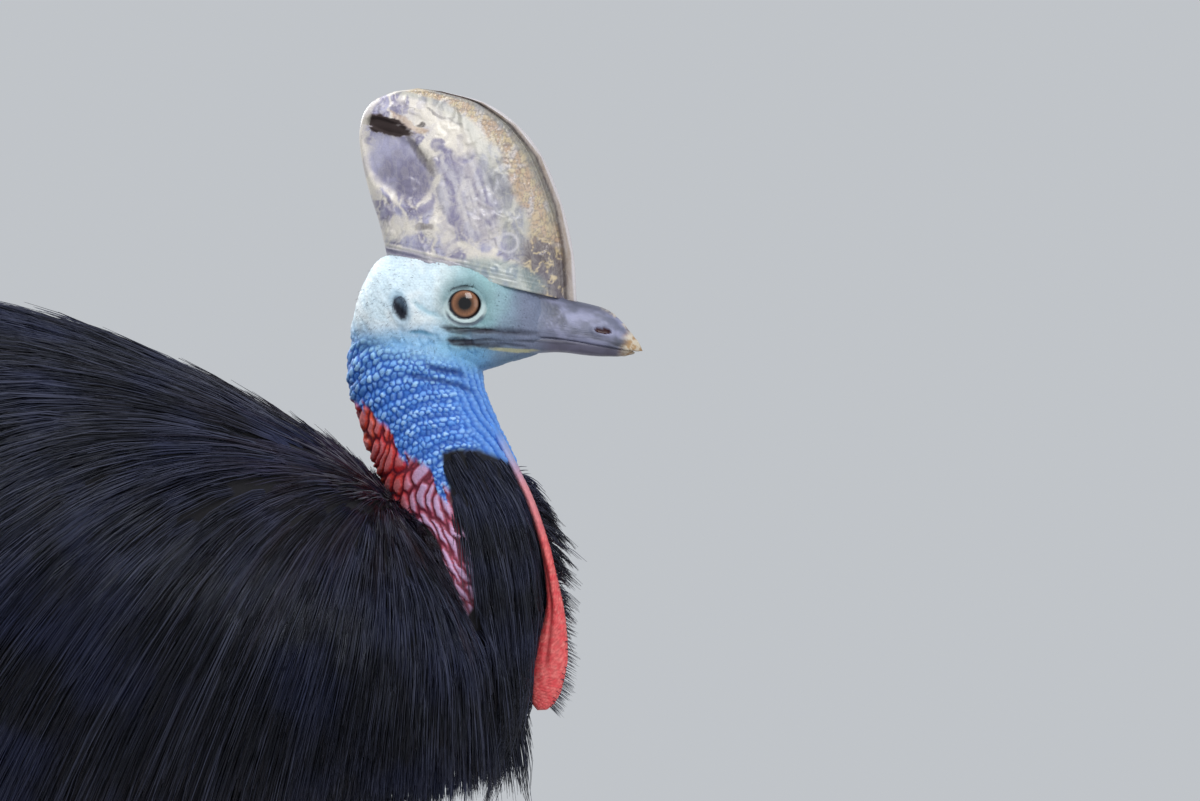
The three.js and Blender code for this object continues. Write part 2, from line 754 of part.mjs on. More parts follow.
// The casque: sections from the back edge to the front keel, swollen low down and hollowed at the back of each side.
function casque() {
  const count = 11;
  const back = refine(CASQUE_BACK, count);
  const front = refine(CASQUE_FRONT, count);
  const thick = refine(CASQUE_HALF.map((half) => [half]), count);
  const places = [-1, -0.9, -0.7, -0.42, -0.1, 0.25, 0.55, 0.8, 0.9, 1];
  const rings = back.map(([bx, bz], i) => {
    const [fx, fz] = front[i];
    const [half] = thick[i];
    const at = (place, side) => {
      const t = (place + 1) / 2;
      const round = Math.sqrt(Math.max(0, 1 - Math.abs(place) ** 2.4));
      const keel = place > 0.7 ? CASQUE_KEEL_HALF : 0;
      const swell = place > 0.85 ? 0 : half * round;
      const dent = 1 - 0.24 * Math.exp(-(((place + 0.5) / 0.28) ** 2) - ((i - 5.8) / 2.2) ** 2);
      return point(lerp(bx, fx, t), side * Math.max(swell * dent, keel), lerp(bz, fz, t));
    };
    const oneSide = places.slice(1, -1).map((place) => at(place, 1));
    const otherSide = places.slice(1, -1).reverse().map((place) => at(place, -1));
    return [point(bx, 0, bz), ...oneSide, point(fx, 0, fz), ...otherSide];
  });
  const crown = point(CASQUE_CROWN[0], 0, CASQUE_CROWN[1]);
  return loft(rings, null, crown).subtract(skullCore(GAP)).subtract(upperBill(GAP));
}

function wattle(side, grow = 0) {
  return tube(refine(mirrored(WATTLE, side), 12), 8, { grow, startDome: 2, endDome: 4 });
}

// Neck skin ringed with shallow folds.
function foldedNeck() {
  const folded = neckStations.map(([x, y, z, wide, deep], i) => {
    const fold = i % 2 ? 1.3 : -0.3;
    return [x, y, z, wide + fold, deep + fold * 0.6];
  });
  return tube(folded, 16, { startDome: 4, endDome: 4 });
}

function drumstick(side, grow = 0) {
  return tube(refine(legStations(DRUMSTICK, side), 7), 14, { grow, startDome: 20, endDome: grow ? 0.4 : 0 });
}

function featheredDrumstick(side) {
  const stations = refine(legStations(DRUMSTICK, side), 12);
  const distance = (p) => tubeDistance(p, stations);
  const random = randomSource(31 + side);
  const lie = () => point(-0.38, 0, -1).normalize();
  const locks = [];
  for (let row = 0; row < 2; row += 1) {
    const [x, y, z, wide, deep] = stations[6 + 3 * row];
    const count = 8 - row;
    for (let k = 0; k < count; k += 1) {
      const a = (2 * Math.PI * (k + (row % 2 ? 0.5 : 0))) / count;
      const root = point(x + deep * Math.cos(a), y + wide * Math.sin(a), z + 10 * Math.cos(a));
      const line = lockLine(root, distance, lie, (88 - 14 * row) * (0.9 + 0.2 * random()), 8);
      locks.push(lock(line, distance, 38 - 8 * row, 5));
    }
  }
  return joined([drumstick(side), ...locks]);
}

// The tarsus carries overlapping plates down its front: each ring pair steps out and drops back.
function tarsus(side, grow = 0) {
  const rows = legStations(TARSUS, side);
  const fine = refine(rows, 2 * TARSUS_PLATES);
  const rings = tubeRings(fine, 9, grow).map((ring, i) => {
    const [x, y, z] = fine[i];
    const centre = point(x, y, z);
    const plate = i > 1 && i < 2 * TARSUS_PLATES - 4 && i % 2 ? 1.7 : 0;
    return ring.map((v) => {
      const facing = clamp((v.x - centre.x) / 20, 0, 1);
      return v.clone().add(point(plate * facing, 0, 0));
    });
  });
  const top = fine[0];
  const foot = fine.at(-1);
  const body = loft(rings, point(top[0], top[1], top[2] + 0.01), point(foot[0], foot[1], foot[2] - 4 - grow));
  return body.intersect(layer(0, HOCK_CUT - HALF_GAP));
}

const shank = (side, grow = 0) => tube(refine(legStations(SHANK, side), 8), 10, { grow, startDome: 3 });

function toeStations(side, { turn, length, start, root, tip, tall, pads }) {
  const angle = degToRad(turn) * side;
  const count = 3 * pads + 1;
  return Array.from({ length: count }, (_, i) => {
    const t = i / (count - 1);
    const s = start + length * t - start * 0.4;
    const pad = 1 + 0.09 * Math.cos(2 * Math.PI * pads * t + Math.PI);
    const half = lerp(root, tip, t) * pad;
    const deep = lerp(tall, tall * 0.72, t) * pad;
    return [2 + footX(side) + s * Math.cos(angle), side * STANCE_HALF + s * Math.sin(angle), deep - 1.4, half, deep];
  });
}

function toe(side, name, grow = 0) {
  const solid = tube(toeStations(side, TOES[name]), 7, { grow, startDome: 6, endDome: 4 });
  return solid.intersect(aboveFloor());
}

function claw(side, name, grow = 0) {
  const { length, half, tall, drop } = CLAWS[name];
  const stations = toeStations(side, TOES[name]);
  const [ex, ey, ez] = stations.at(-1);
  const angle = degToRad(TOES[name].turn) * side;
  const rows = Array.from({ length: 5 }, (_, i) => {
    const t = i / 4;
    const s = length * t - 6;
    const thin = Math.sqrt(1 - t) * 0.9 + 0.1;
    const z = ez + 1.5 - drop * t ** 1.6;
    return [ex + s * Math.cos(angle), ey + s * Math.sin(angle), Math.max(z, tall * thin), half * thin, tall * thin];
  });
  return tube(rows, 7, { grow, startDome: 2, endDome: 3 }).intersect(aboveFloor());
}

function geometryOf(solid) {
  const { vertProperties, triVerts } = solid.getMesh();
  const geometry = new THREE.BufferGeometry();
  geometry.setAttribute("position", new THREE.BufferAttribute(vertProperties, 3));
  return geometry.setIndex(new THREE.BufferAttribute(triVerts, 1));
}

const largestBody = (solid) => solid.decompose().sort((a, b) => b.volume() - a.volume())[0];

const bird = new THREE.Group();

// Adds a node: the solid's largest closed body, set round its own middle.
function addNode(name, solid, material, group = bird) {
  const geometry = geometryOf(largestBody(solidFrom(geometryOf(largestBody(solid)))));
  geometry.computeVertexNormals();
  geometry.computeBoundingBox();
  const middle = geometry.boundingBox.getCenter(point(0, 0, 0)).round();
  geometry.translate(-middle.x, -middle.y, -middle.z);
  const mesh = new THREE.Mesh(geometry, material);
  mesh.name = name;
  mesh.position.copy(middle);
  group.add(mesh);
}

const finish = (color, roughness) => new THREE.MeshStandardMaterial({ color, roughness, metalness: 0 });
const plumage = finish(PLUMAGE_BLACK, 0.5);
const blueSkin = finish(SKIN_BLUE, 0.6);
const paleSkin = finish(0xbfe3e6, 0.6);
const redSkin = finish(0xe0524e, 0.55);
const horn = finish(0x8f8778, 0.45);
const bill = finish(0x4a505c, 0.4);
const iris = finish(0x8a4a1c, 0.1);
const legSkin = finish(0x77735f, 0.7);
const clawHorn = finish(0x2c2926, 0.35);

const locks = trunkLocks();
const lobeRandom = randomSource(5);
const wattles = joined([wattle(RIGHT, GAP), wattle(LEFT, GAP)]);
const wings = joined([wing(RIGHT, GAP), wing(LEFT, GAP)]);
const legs = joined([drumstick(RIGHT, GAP), drumstick(LEFT, GAP)]);
const flesh = joined([trunkCore(), neckCore()]);
const fleshOfTorso = joined([trunkCore(), neckCore().intersect(under(shifted(CUT_MID_NECK, 0, -3)))]);

addNode("casque", casque(), horn);
addNode("head", head(), paleSkin);
addNode("bill_upper", billWithNostrils(), bill);
addNode("bill_lower", lowerBill(), bill);
const upperNeck = foldedNeck().intersect(under(CUT_THROAT)).intersect(over(CUT_MID_NECK));
addNode("neck_upper", upperNeck.subtract(wattles), blueSkin);

const breast = joined([flesh, ...locks.breast, ...throatLocks(), ...skinLobes(LOBE, 15.5, lobeRandom), ...skinLobes(NAPE_LOBE, 16.5, lobeRandom)]);
addNode("neck_lower_breast", breast.intersect(ahead(CUT_COLLAR)).intersect(under(CUT_MID_NECK)).subtract(wattles), plumage);

const torso = joined([fleshOfTorso, ...locks.torso]).intersect(behind(CUT_COLLAR)).intersect(ahead(CUT_RUMP));
addNode("torso", torso.subtract(wings).subtract(legs), plumage);
addNode("tail", joined([trunkCore(), ...locks.tail]).intersect(behind(CUT_RUMP)), plumage);

for (const [side, label] of [
  [RIGHT, "right"],
  [LEFT, "left"],
]) {
  addNode(`eye_${label}`, eyeball(side), iris);
  addNode(`wattle_${label}`, wattle(side), redSkin);
  addNode(`wing_${label}`, wing(side), clawHorn);
  const leg = new THREE.Group();
  bird.add(leg);
  const thigh = featheredDrumstick(side).subtract(wing(side, GAP)).subtract(shank(side, GAP));
  addNode(`thigh_${label}`, thigh, plumage, leg);
  addNode(`shank_${label}`, shank(side).intersect(layer(HOCK_CUT + HALF_GAP, FAR)), legSkin, leg);
  addNode(`tarsus_${label}`, tarsus(side), legSkin, leg);
  const hub = tarsus(side, GAP);
  const placed = [];
  for (const name of ["middle", "inner", "outer"]) {
    const whole = toe(side, name).subtract(hub).subtract(claw(side, name, GAP));
    const clear = placed.reduce((solid, other) => solid.subtract(other), whole);
    placed.push(toe(side, name, GAP));
    addNode(`toe_${name}_${label}`, clear, legSkin, leg);
    addNode(`claw_${name}_${label}`, claw(side, name), clawHorn, leg);
  }
}

// The frame's origin is on the floor under the middle of the bird's box.
bird.updateMatrixWorld(true);
const box = new THREE.Box3().setFromObject(bird, true);
const centre = box.getCenter(point(0, 0, 0));
bird.position.set(-centre.x, -centre.y, -box.min.z);

export default bird;
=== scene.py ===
"""A southern cassowary standing at ease, life size, as a museum model under plain studio light.

The driving sizes are in millimetres: +X forward to the bill, +Y to the bird's left, +Z up, floor at 0.
A mesh becomes metres in the row's own frame when it is made.
"""
import logging
import math
from dataclasses import dataclass, fields
from enum import Enum
from typing import Any, Callable, Sequence

import bpy
import numpy as np
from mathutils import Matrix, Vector


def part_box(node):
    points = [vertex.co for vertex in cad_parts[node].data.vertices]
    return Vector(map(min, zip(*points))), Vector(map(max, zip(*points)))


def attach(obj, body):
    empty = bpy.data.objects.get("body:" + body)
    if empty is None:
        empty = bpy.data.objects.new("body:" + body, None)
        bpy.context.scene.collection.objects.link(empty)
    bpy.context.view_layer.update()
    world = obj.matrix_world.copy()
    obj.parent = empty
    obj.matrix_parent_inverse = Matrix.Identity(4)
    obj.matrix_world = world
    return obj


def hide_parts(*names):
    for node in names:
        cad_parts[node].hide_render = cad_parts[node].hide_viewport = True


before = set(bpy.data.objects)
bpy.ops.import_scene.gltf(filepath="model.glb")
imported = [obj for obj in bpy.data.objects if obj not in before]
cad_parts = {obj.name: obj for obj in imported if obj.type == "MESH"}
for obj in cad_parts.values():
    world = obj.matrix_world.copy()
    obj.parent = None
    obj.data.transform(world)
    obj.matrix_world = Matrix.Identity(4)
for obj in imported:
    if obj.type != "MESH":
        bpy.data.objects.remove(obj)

log = logging.getLogger("cassowary")
logging.basicConfig(level=logging.INFO, format="%(name)s: %(message)s")

Array = np.ndarray
Rows = Sequence[Sequence[float]]
Colour = tuple[float, float, float]
Field = Callable[[Array], Array]
Item = bpy.types.Object
Material = bpy.types.Material
Tree = bpy.types.NodeTree

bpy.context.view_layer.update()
MM = 0.001
# Points whose distance from a tube is worked out at one time.
POINTS_AT_A_TIME = 40000
# How far to each side of a point a distance is read to find the way out.
SLOPE_PROBE = 8.0
# How deep a feather's root stands in the skin, and how far up the skin must face to bear the feather.
ROOT_DEPTH = 3.0
FACING_UP = 0.3
MIRROR = np.array([1, -1, 1])
# How a mesh stores one, three or four numbers on a vertex: the kind of attribute and its key.
ATTRIBUTE_KINDS = {1: ("FLOAT", "value"), 3: ("FLOAT_VECTOR", "vector"), 4: ("FLOAT_COLOR", "color")}
# What a barb's number, its length and the turn round it take up on the unwrapped sheet.
SHEET_OWN = 0.0016
SHEET_LENGTH = 0.003
SHEET_AROUND = 0.0014

# Trunk core under the plumage: x, top, widest height, bottom, half width.
TRUNK: Rows = (
    (-425, 812, 790, 766, 22),
    (-398, 862, 780, 706, 72),
    (-340, 908, 765, 640, 122),
    (-250, 949, 752, 592, 166),
    (-130, 968, 745, 564, 190),
    (0, 961, 738, 552, 196),
    (120, 928, 728, 552, 184),
    (210, 889, 714, 562, 160),
    (290, 843, 700, 582, 130),
    (345, 790, 688, 602, 102),
    (388, 735, 676, 622, 68),
    (412, 702, 668, 638, 30),
)
# Stretches of the trunk's plumage: from and to along X.
TRUNK_ZONES = {
    "tail": (-500, -230),
    "rump": (-230, -80),
    "back": (-80, 60),
    "flank": (60, 190),
    "shoulder": (190, 290),
    "collar": (290, 500),
}
# Neck, from inside the breast up into the skull: x, z, half depth, half width.
NECK: Rows = (
    (330, 640, 55, 60),
    (352, 690, 58, 62),
    (371, 740, 56, 56),
    (378, 785, 50, 48),
    (370, 822, 49, 42),
    (355, 856, 48.5, 39),
    (343, 888, 48.5, 37.5),
    (338, 918, 50, 37),
    (340, 945, 44, 34),
)
# Skull with its skin: x, top, widest height, bottom, half width.
SKULL: Rows = (
    (293, 959, 945, 928, 13),
    (299, 977.5, 948, 914, 24),
    (311, 997.5, 951, 905, 32),
    (332, 1003.5, 955, 904, 36),
    (352, 1003, 957, 907, 36.5),
    (372, 1002, 959, 911, 35.5),
    (392, 996, 956, 916, 32),
    (410, 988, 951, 922, 26),
    (426, 980, 947, 926.5, 21),
    (437, 969, 946, 932, 14.5),
)
# Upper bill: x, ridge, half width. Lower bill: x, underside, half width.
UPPER_BILL: Rows = (
    (418, 981, 19.5),
    (428.4, 979, 20),
    (440, 974, 17.5),
    (455, 968.5, 15),
    (470, 965, 13.8),
    (484, 960.5, 12),
    (494, 952.5, 9.4),
    (502, 943, 6.6),
    (508, 935, 3.6),
    (510.4, 930.9, 1.2),
)
LOWER_BILL: Rows = (
    (418, 926.5, 18),
    (428.4, 927.6, 19),
    (448, 928.5, 15.5),
    (471, 926, 12),
    (488, 925.2, 8.6),
    (499, 926, 5.4),
    (504, 927.3, 2),
)
# Right half of the bill's sections: across and up, from 0 to 1. Then the line of the mouth: x, z.
UPPER_SECTION: Rows = ((0, 1), (0.36, 0.93), (0.7, 0.68), (0.93, 0.34), (1, 0.1), (0.86, 0.0), (0, 0))
LOWER_SECTION: Rows = ((0, 0), (0.4, 0.02), (0.74, 0.22), (0.94, 0.68), (0.9, 0.98), (0.8, 1), (0, 1))
MOUTH: Rows = ((364, 939.5), (402, 940.5), (448, 938.2), (478, 933.8), (500, 929.8), (512, 928.8))
# Casque edges from the base up to the crown: x, z. Half thickness at the same heights.
CASQUE_BACK: Rows = (
    (317.5, 998),
    (311, 1026),
    (302, 1055),
    (296, 1086),
    (297.5, 1106),
    (306, 1119),
    (322, 1126.5),
)
CASQUE_FRONT: Rows = (
    (461, 966),
    (458.5, 1003),
    (450, 1040),
    (435, 1077),
    (416, 1101),
    (391, 1118),
    (360, 1126.5),
)
CASQUE_HALF: Rows = ((25,), (25,), (22.5,), (19,), (15,), (11,), (6.5,))
CASQUE_CROWN = (340.0, 0.0, 1129.0)
# Right wattle: x, y, z, half width across, half depth.
WATTLE: Rows = (
    (391, 9.4, 880, 4, 1.2),
    (400, 10, 866, 9.2, 3.2),
    (412, 10.2, 843, 9.4, 3.2),
    (425, 10.4, 816, 9.4, 3.2),
    (435.5, 10.5, 785, 9, 3.4),
    (442, 10.5, 755, 8, 4),
    (444.5, 10.5, 730, 7, 6.5),
    (442, 10.5, 702, 6.5, 11.5),
    (438.5, 10.5, 680, 6.5, 11.8),
    (436, 10.5, 668, 5.6, 9.6),
    (432.5, 10.5, 660, 4, 5.4),
)
# Right leg ahead of the foot's own place: x, y, z, half width, half depth.
DRUMSTICK: Rows = (
    (108, 98, 668, 48, 72),
    (88, 99, 628, 50, 74),
    (52, 99, 572, 47, 66),
    (16, 98, 520, 41, 54),
    (-14, 97, 474, 33, 41),
    (-32, 96, 441, 26, 31),
)
LOWER_LEG: Rows = (
    (-14, 97, 474, 25, 30),
    (-32, 96, 440.6, 22.5, 26.5),
    (-42, 95, 418, 20.5, 23.5),
    (-50, 94.5, 395, 19.5, 22),
    (-56, 94, 372, 22, 25),
    (-57, 94, 350, 24, 28),
    (-54, 94, 330, 21.5, 25),
    (-50, 94, 312, 18.5, 21.5),
    (-40, 94, 240, 17.5, 20),
    (-27, 94, 160, 17.5, 19.5),
    (-14, 94, 95, 19, 20),
    (-5, 94, 60, 23, 23),
    (0, 94, 34, 28, 26),
    (2, 94, 16, 27, 16),
)
WING_STUB: Rows = (
    (172, 142, 642, 9, 14),
    (140, 149, 620, 11, 16),
    (106, 152, 598, 10, 14),
    (84, 152, 584, 8, 10),
)
FEET_X = -48.0
FOOT_STAGGER = 34.0
STANCE_HALF = 94.0
EYE_AT = (376.0, 29.5, 965.0)
EYE_ACROSS = 14.2
EYE_BULGE = 9.0
EAR_AT = (328.0, 37.5, 961.5)
NOSTRIL_AT = (481.0, 944.6)
COLLAR_AT = (368.0, 834.0)
NECK_HALF_GIRTH = 135.0


class Side(Enum):
    """The bird's right and left, with the sign of Y there."""

    RIGHT = -1
    LEFT = 1

    @property
    def word(self) -> str:
        """The side's name as the nodes spell it."""
        return self.name.lower()


class Slot(Enum):
    """The record's material slots."""

    PLUMAGE = "plumage"
    NECK = "neck_skin_blue"
    CASQUE = "casque_horn"
    BILL = "bill_horn"
    IRIS = "iris"
    WATTLE = "wattle_skin"
    CLAW = "claw_horn"
    QUILL = "quill"


def frame_offset() -> Array:
    """Where the maker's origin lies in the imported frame, in millimetres."""
    low, high = (np.array(corner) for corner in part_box("eye_right"))
    return (low + high) / (2 * MM) - np.array([EYE_AT[0], -EYE_AT[1], EYE_AT[2]])


OFFSET = frame_offset()


def read_table(rows: Rows, keys: Array) -> Array:
    """Read a table smoothly between its rows.

    Args:
        rows: The table, whose first column rises.
        keys: The places in the first column to read at.

    Returns:
        The other columns' values, one row for each key.
    """
    table = np.asarray(rows, float)
    xs, ys = table[:, 0], table[:, 1:]
    before = np.vstack([table[:1], table[:-1]])
    after = np.vstack([table[1:], table[-1:]])
    slopes = (after[:, 1:] - before[:, 1:]) / (after[:, :1] - before[:, :1])
    at = np.clip(keys, xs[0], xs[-1])
    i = np.clip(np.searchsorted(xs, at, side="right") - 1, 0, len(xs) - 2)
    span = (xs[i + 1] - xs[i])[:, None]
    t = (at - xs[i])[:, None] / span
    start = (2 * t**3 - 3 * t**2 + 1) * ys[i] + (t**3 - 2 * t**2 + t) * span * slopes[i]
    end = (3 * t**2 - 2 * t**3) * ys[i + 1] + (t**3 - t**2) * span * slopes[i + 1]
    return start + end


def refine(rows: Rows, count: int) -> Array:
    """Stations read at evenly spaced places along a table's rows."""
    numbered = [(i, *row) for i, row in enumerate(rows)]
    return read_table(numbered, np.linspace(0, len(rows) - 1, count))


def smoothstep(value: Array, low: float, high: float) -> Array:
    """A soft step from 0 at low to 1 at high."""
    t = np.clip((value - low) / (high - low), 0, 1)
    return t * t * (3 - 2 * t)


def fade(value: Array, low: float, high: float) -> Array:
    """A soft step from 1 at low to 0 at high."""
    return 1 - smoothstep(value, low, high)


def bell(value: Array, at: Array | float, width: float) -> Array:
    """A soft ridge, 1 where a value is reached and falling off to both sides of it."""
    return np.exp(-(((value - at) / width) ** 2))


def blend(a: Array, b: Array | Colour, weight: Array) -> Array:
    """Mix two rows of colours or values by a weight per row."""
    return a + (np.asarray(b) - a) * weight[:, None]


def layer(colour: Array, *coats: tuple[Array | Colour, Array]) -> Array:
    """Lay coats over a colour one after another, each a colour and its weight per row."""
    for over, weight in coats:
        colour = blend(colour, over, weight)
    return colour


def plain(colour: Colour, like: Array) -> Array:
    """One colour for every row of another array."""
    return np.tile(np.array(colour), (len(like), 1))


def unit(vectors: Array) -> Array:
    """Vectors scaled to length one."""
    return vectors / (np.linalg.norm(vectors, axis=-1, keepdims=True) + 1e-12)


def lengthwise(x: Array, z: Array) -> Array:
    """Directions with no sideways part, from how far each goes along X and Z."""
    return unit(np.stack([x, np.zeros(len(z)), z], axis=1))


def mirrored(rows: Rows, side: Side) -> list[tuple[float, ...]]:
    """A right-hand table of x, y, z and radii, set on the side asked for."""
    return [(row[0], side.value * row[1], *row[2:]) for row in rows]


def cell_noise(i: Array, j: Array, seed: float) -> Array:
    """A repeatable value from 0 to 1 for each whole-numbered cell."""
    return np.modf(np.abs(np.sin(i * 127.1 + j * 311.7 + seed * 74.7) * 43758.5453))[0]


def cell_pattern(u: Array, v: Array, seed: float = 1.0, order: float = 0.0) -> tuple[Array, Array]:
    """Rounded cells as scaly skin has them, one to each unit square, staggered from row to row.

    Args:
        u: First coordinate, in cells.
        v: Second coordinate, in cells.
        seed: Picks one of many patterns.
        order: From 0 for loose cells to 1 for cells that keep to straight rows.

    Returns:
        Height from 0 in the creases to 1 on a cell, and a value from 0 to 1 that is each cell's own.
    """
    i, j = np.floor(u), np.floor(v)
    nearest = np.full(u.shape, 9.0)
    second = np.full(u.shape, 9.0)
    own = np.zeros(u.shape)
    loose = 0.64 * (1 - order)
    for di in (-1, 0, 1):
        for dj in (-1, 0, 1):
            ci, cj = i + di, j + dj
            du = ci + 0.5 * np.mod(cj, 2) + 0.5 * cell_noise(ci, cj, seed) - u
            dv = cj + 0.5 + loose * (cell_noise(ci, cj, seed + 3.3) - 0.5) - v
            distance = np.hypot(du, dv)
            closer = distance < nearest
            second = np.where(closer, nearest, np.minimum(second, distance))
            own = np.where(closer, cell_noise(ci, cj, seed + 9.1), own)
            nearest = np.where(closer, distance, nearest)
    dome = np.clip(1 - (nearest / 0.9) ** 2, 0, 1)
    return smoothstep(second - nearest, 0.02, 0.5) * (0.45 + 0.55 * dome), own


def value_noise(u: Array, v: Array, seed: float) -> Array:
    """Soft noise from 0 to 1 with one swell to each unit square.

    Args:
        u: First coordinate.
        v: Second coordinate.
        seed: Picks one of many patterns.

    Returns:
        The noise at each point.
    """
    i, j = np.floor(u), np.floor(v)
    a, b = u - i, v - j
    a, b = a * a * (3 - 2 * a), b * b * (3 - 2 * b)
    low = cell_noise(i, j, seed) * (1 - a) + cell_noise(i + 1, j, seed) * a
    high = cell_noise(i, j + 1, seed) * (1 - a) + cell_noise(i + 1, j + 1, seed) * a
    return low * (1 - b) + high * b


def cloud(u: Array, v: Array, seed: float = 0.0, octaves: int = 4) -> Array:
    """Cloudy noise from 0 to 1 whose largest swells fill a unit square."""
    total, weight = np.zeros(np.shape(u)), 0.0
    for k in range(octaves):
        total = total + value_noise(u * 2**k, v * 2**k, seed + 5.7 * k) * 0.5**k
        weight += 0.5**k
    return total / weight


def line_distance(x: Array, z: Array, line: Rows) -> Array:
    """Distance in the side view from points to a bent line of x and z."""
    nearest = np.full(x.shape, 1e9)
    for (ax, az), (bx, bz) in zip(line[:-1], line[1:]):
        run, rise = bx - ax, bz - az
        t = np.clip(((x - ax) * run + (z - az) * rise) / (run * run + rise * rise), 0, 1)
        nearest = np.minimum(nearest, np.hypot(x - ax - t * run, z - az - t * rise))
    return nearest


def spot(x: Array, z: Array, at: Sequence[float], halves: Sequence[float], turn: float = 0.0) -> Array:
    """A soft-edged oval in the side view, 1 in its middle and 0 outside.

    Args:
        x: First coordinate of the points.
        z: Second coordinate of the points.
        at: The oval's middle.
        halves: Its half length and half width.
        turn: How far its length is turned up from the first coordinate, in degrees.

    Returns:
        The weight at each point.
    """
    c, s = math.cos(math.radians(turn)), math.sin(math.radians(turn))
    a, b = x - at[0], z - at[1]
    reach = np.hypot((a * c + b * s) / halves[0], (b * c - a * s) / halves[1])
    return fade(reach, 0.75, 1.2)


def oval_distance(a: Array, b: Array, half_a: Array, half_b: Array) -> Array:
    """Rough distance outside an oval, from offsets off its centre."""
    reach = np.hypot(a, b)
    scaled = np.hypot(a / half_a, b / half_b)
    return np.where(scaled < 1e-6, -np.minimum(half_a, half_b), reach - reach / np.maximum(scaled, 1e-6))


def tube_frames(stations: Array) -> tuple[Array, Array, Array, Array]:
    """Centres of a tube's stations, and the directions along it, to its side and to its front."""
    centres = stations[:, :3]
    along = unit(np.vstack([centres[1:], centres[-1:]]) - np.vstack([centres[:1], centres[:-1]]))
    side = unit(np.array([0.0, 1.0, 0.0]) - along * along[:, 1:2])
    return centres, along, side, np.cross(side, along)


@dataclass
class TubeField:
    """A bent oval tube: how far points lie outside it and where they lie along and round it."""

    stations: Array

    def places(self, k: Array, angle: Array) -> Array:
        """Points on the tube, at stations and angles from its front."""
        centres, _, side, front = tube_frames(self.stations)
        aside = side[k] * (self.stations[k, 3] * np.sin(angle))[:, None]
        return centres[k] + aside + front[k] * (self.stations[k, 4] * np.cos(angle))[:, None]

    def locate(self, points: Array) -> tuple[Array, Array, Array]:
        """Find the tube's place nearest to each point.

        Args:
            points: Points in millimetres, one to a row.

        Returns:
            The distance outside the tube, the length along it, and the angle round it from its front.
        """
        centres, along, side, front = tube_frames(self.stations)
        lengths = np.concatenate([[0], np.cumsum(np.linalg.norm(np.diff(centres, axis=0), axis=1))])
        out = [np.empty(len(points)) for _ in range(3)]
        for start in range(0, len(points), POINTS_AT_A_TIME):
            part = slice(start, start + POINTS_AT_A_TIME)
            near = points[part]
            gaps = (near**2).sum(1)[:, None] - 2 * near @ centres.T + (centres**2).sum(1)[None]
            k = np.argmin(gaps, axis=1)
            off = near - centres[k]
            onward, a, b = ((off * way[k]).sum(1) for way in (along, side, front))
            across = oval_distance(a, b, self.stations[k, 3], self.stations[k, 4])
            ends = (k == 0) | (k == len(centres) - 1)
            past = np.where(ends, np.abs(onward), 0)
            out[0][part] = np.hypot(np.maximum(across, 0), past) + np.minimum(across, 0)
            out[1][part] = lengths[k] + onward
            out[2][part] = np.arctan2(a, b)
        return out[0], out[1], out[2]


def trunk_places(x: Array, angle: Array) -> Array:
    """Points on the trunk core, at places along X and angles round it from its top."""
    top, mid, bottom, half = read_table(TRUNK, x).T
    tall = np.where(np.cos(angle) > 0, top - mid, mid - bottom)
    return np.stack([x, half * np.sin(angle), mid + tall * np.cos(angle)], axis=1)


def trunk_distance(points: Array) -> Array:
    """Distance outside the trunk core.

    Args:
        points: Points in millimetres, one to a row.

    Returns:
        The distance of each, below zero inside.
    """
    x = points[:, 0]
    top, mid, bottom, half = read_table(TRUNK, x).T
    tall = np.where(points[:, 2] > mid, top - mid, mid - bottom)
    across = oval_distance(points[:, 1], points[:, 2] - mid, half, tall)
    past = np.maximum(np.maximum(TRUNK[0][0] - x, x - TRUNK[-1][0]), 0)
    return np.where(past > 0, np.hypot(np.maximum(across, 0), past), across)


def foot_x(side: Side) -> float:
    """Where the ball of a foot stands, along X."""
    return FEET_X + (FOOT_STAGGER if side is Side.RIGHT else -FOOT_STAGGER)


def leg_rows(rows: Rows, side: Side) -> list[tuple[float, ...]]:
    """A leg table set on its side and over its foot."""
    return [(row[0] + foot_x(side), *row[1:]) for row in mirrored(rows, side)]


NECK_TUBE = TubeField(refine([(x, 0, z, wide, deep) for x, z, deep, wide in NECK], 161))
DRUMSTICKS = {side: TubeField(refine(leg_rows(DRUMSTICK, side), 61)) for side in Side}
LOWER_LEGS = {side: TubeField(refine(leg_rows(LOWER_LEG, side), 161)) for side in Side}


def body_distance(points: Array) -> Array:
    """Distance outside the trunk, neck and drumsticks together."""
    nearest = np.minimum(trunk_distance(points), NECK_TUBE.locate(points)[0])
    for tube in DRUMSTICKS.values():
        nearest = np.minimum(nearest, tube.locate(points)[0])
    return nearest


def outward(distance: Field, points: Array) -> Array:
    """The way straight out of the surface that a distance field describes."""
    slopes = []
    for axis in np.eye(3) * SLOPE_PROBE:
        slopes.append(distance(points + axis) - distance(points - axis))
    return unit(np.stack(slopes, axis=1))


# Meshes


def ring_faces(rings: int, sides: int) -> Array:
    """Quads between neighbouring rings of equal count."""
    r, s = np.meshgrid(np.arange(rings - 1), np.arange(sides), indexing="ij")
    a = (r * sides + s).ravel()
    b = (r * sides + (s + 1) % sides).ravel()
    return np.stack([a, b, b + sides, a + sides], axis=1)


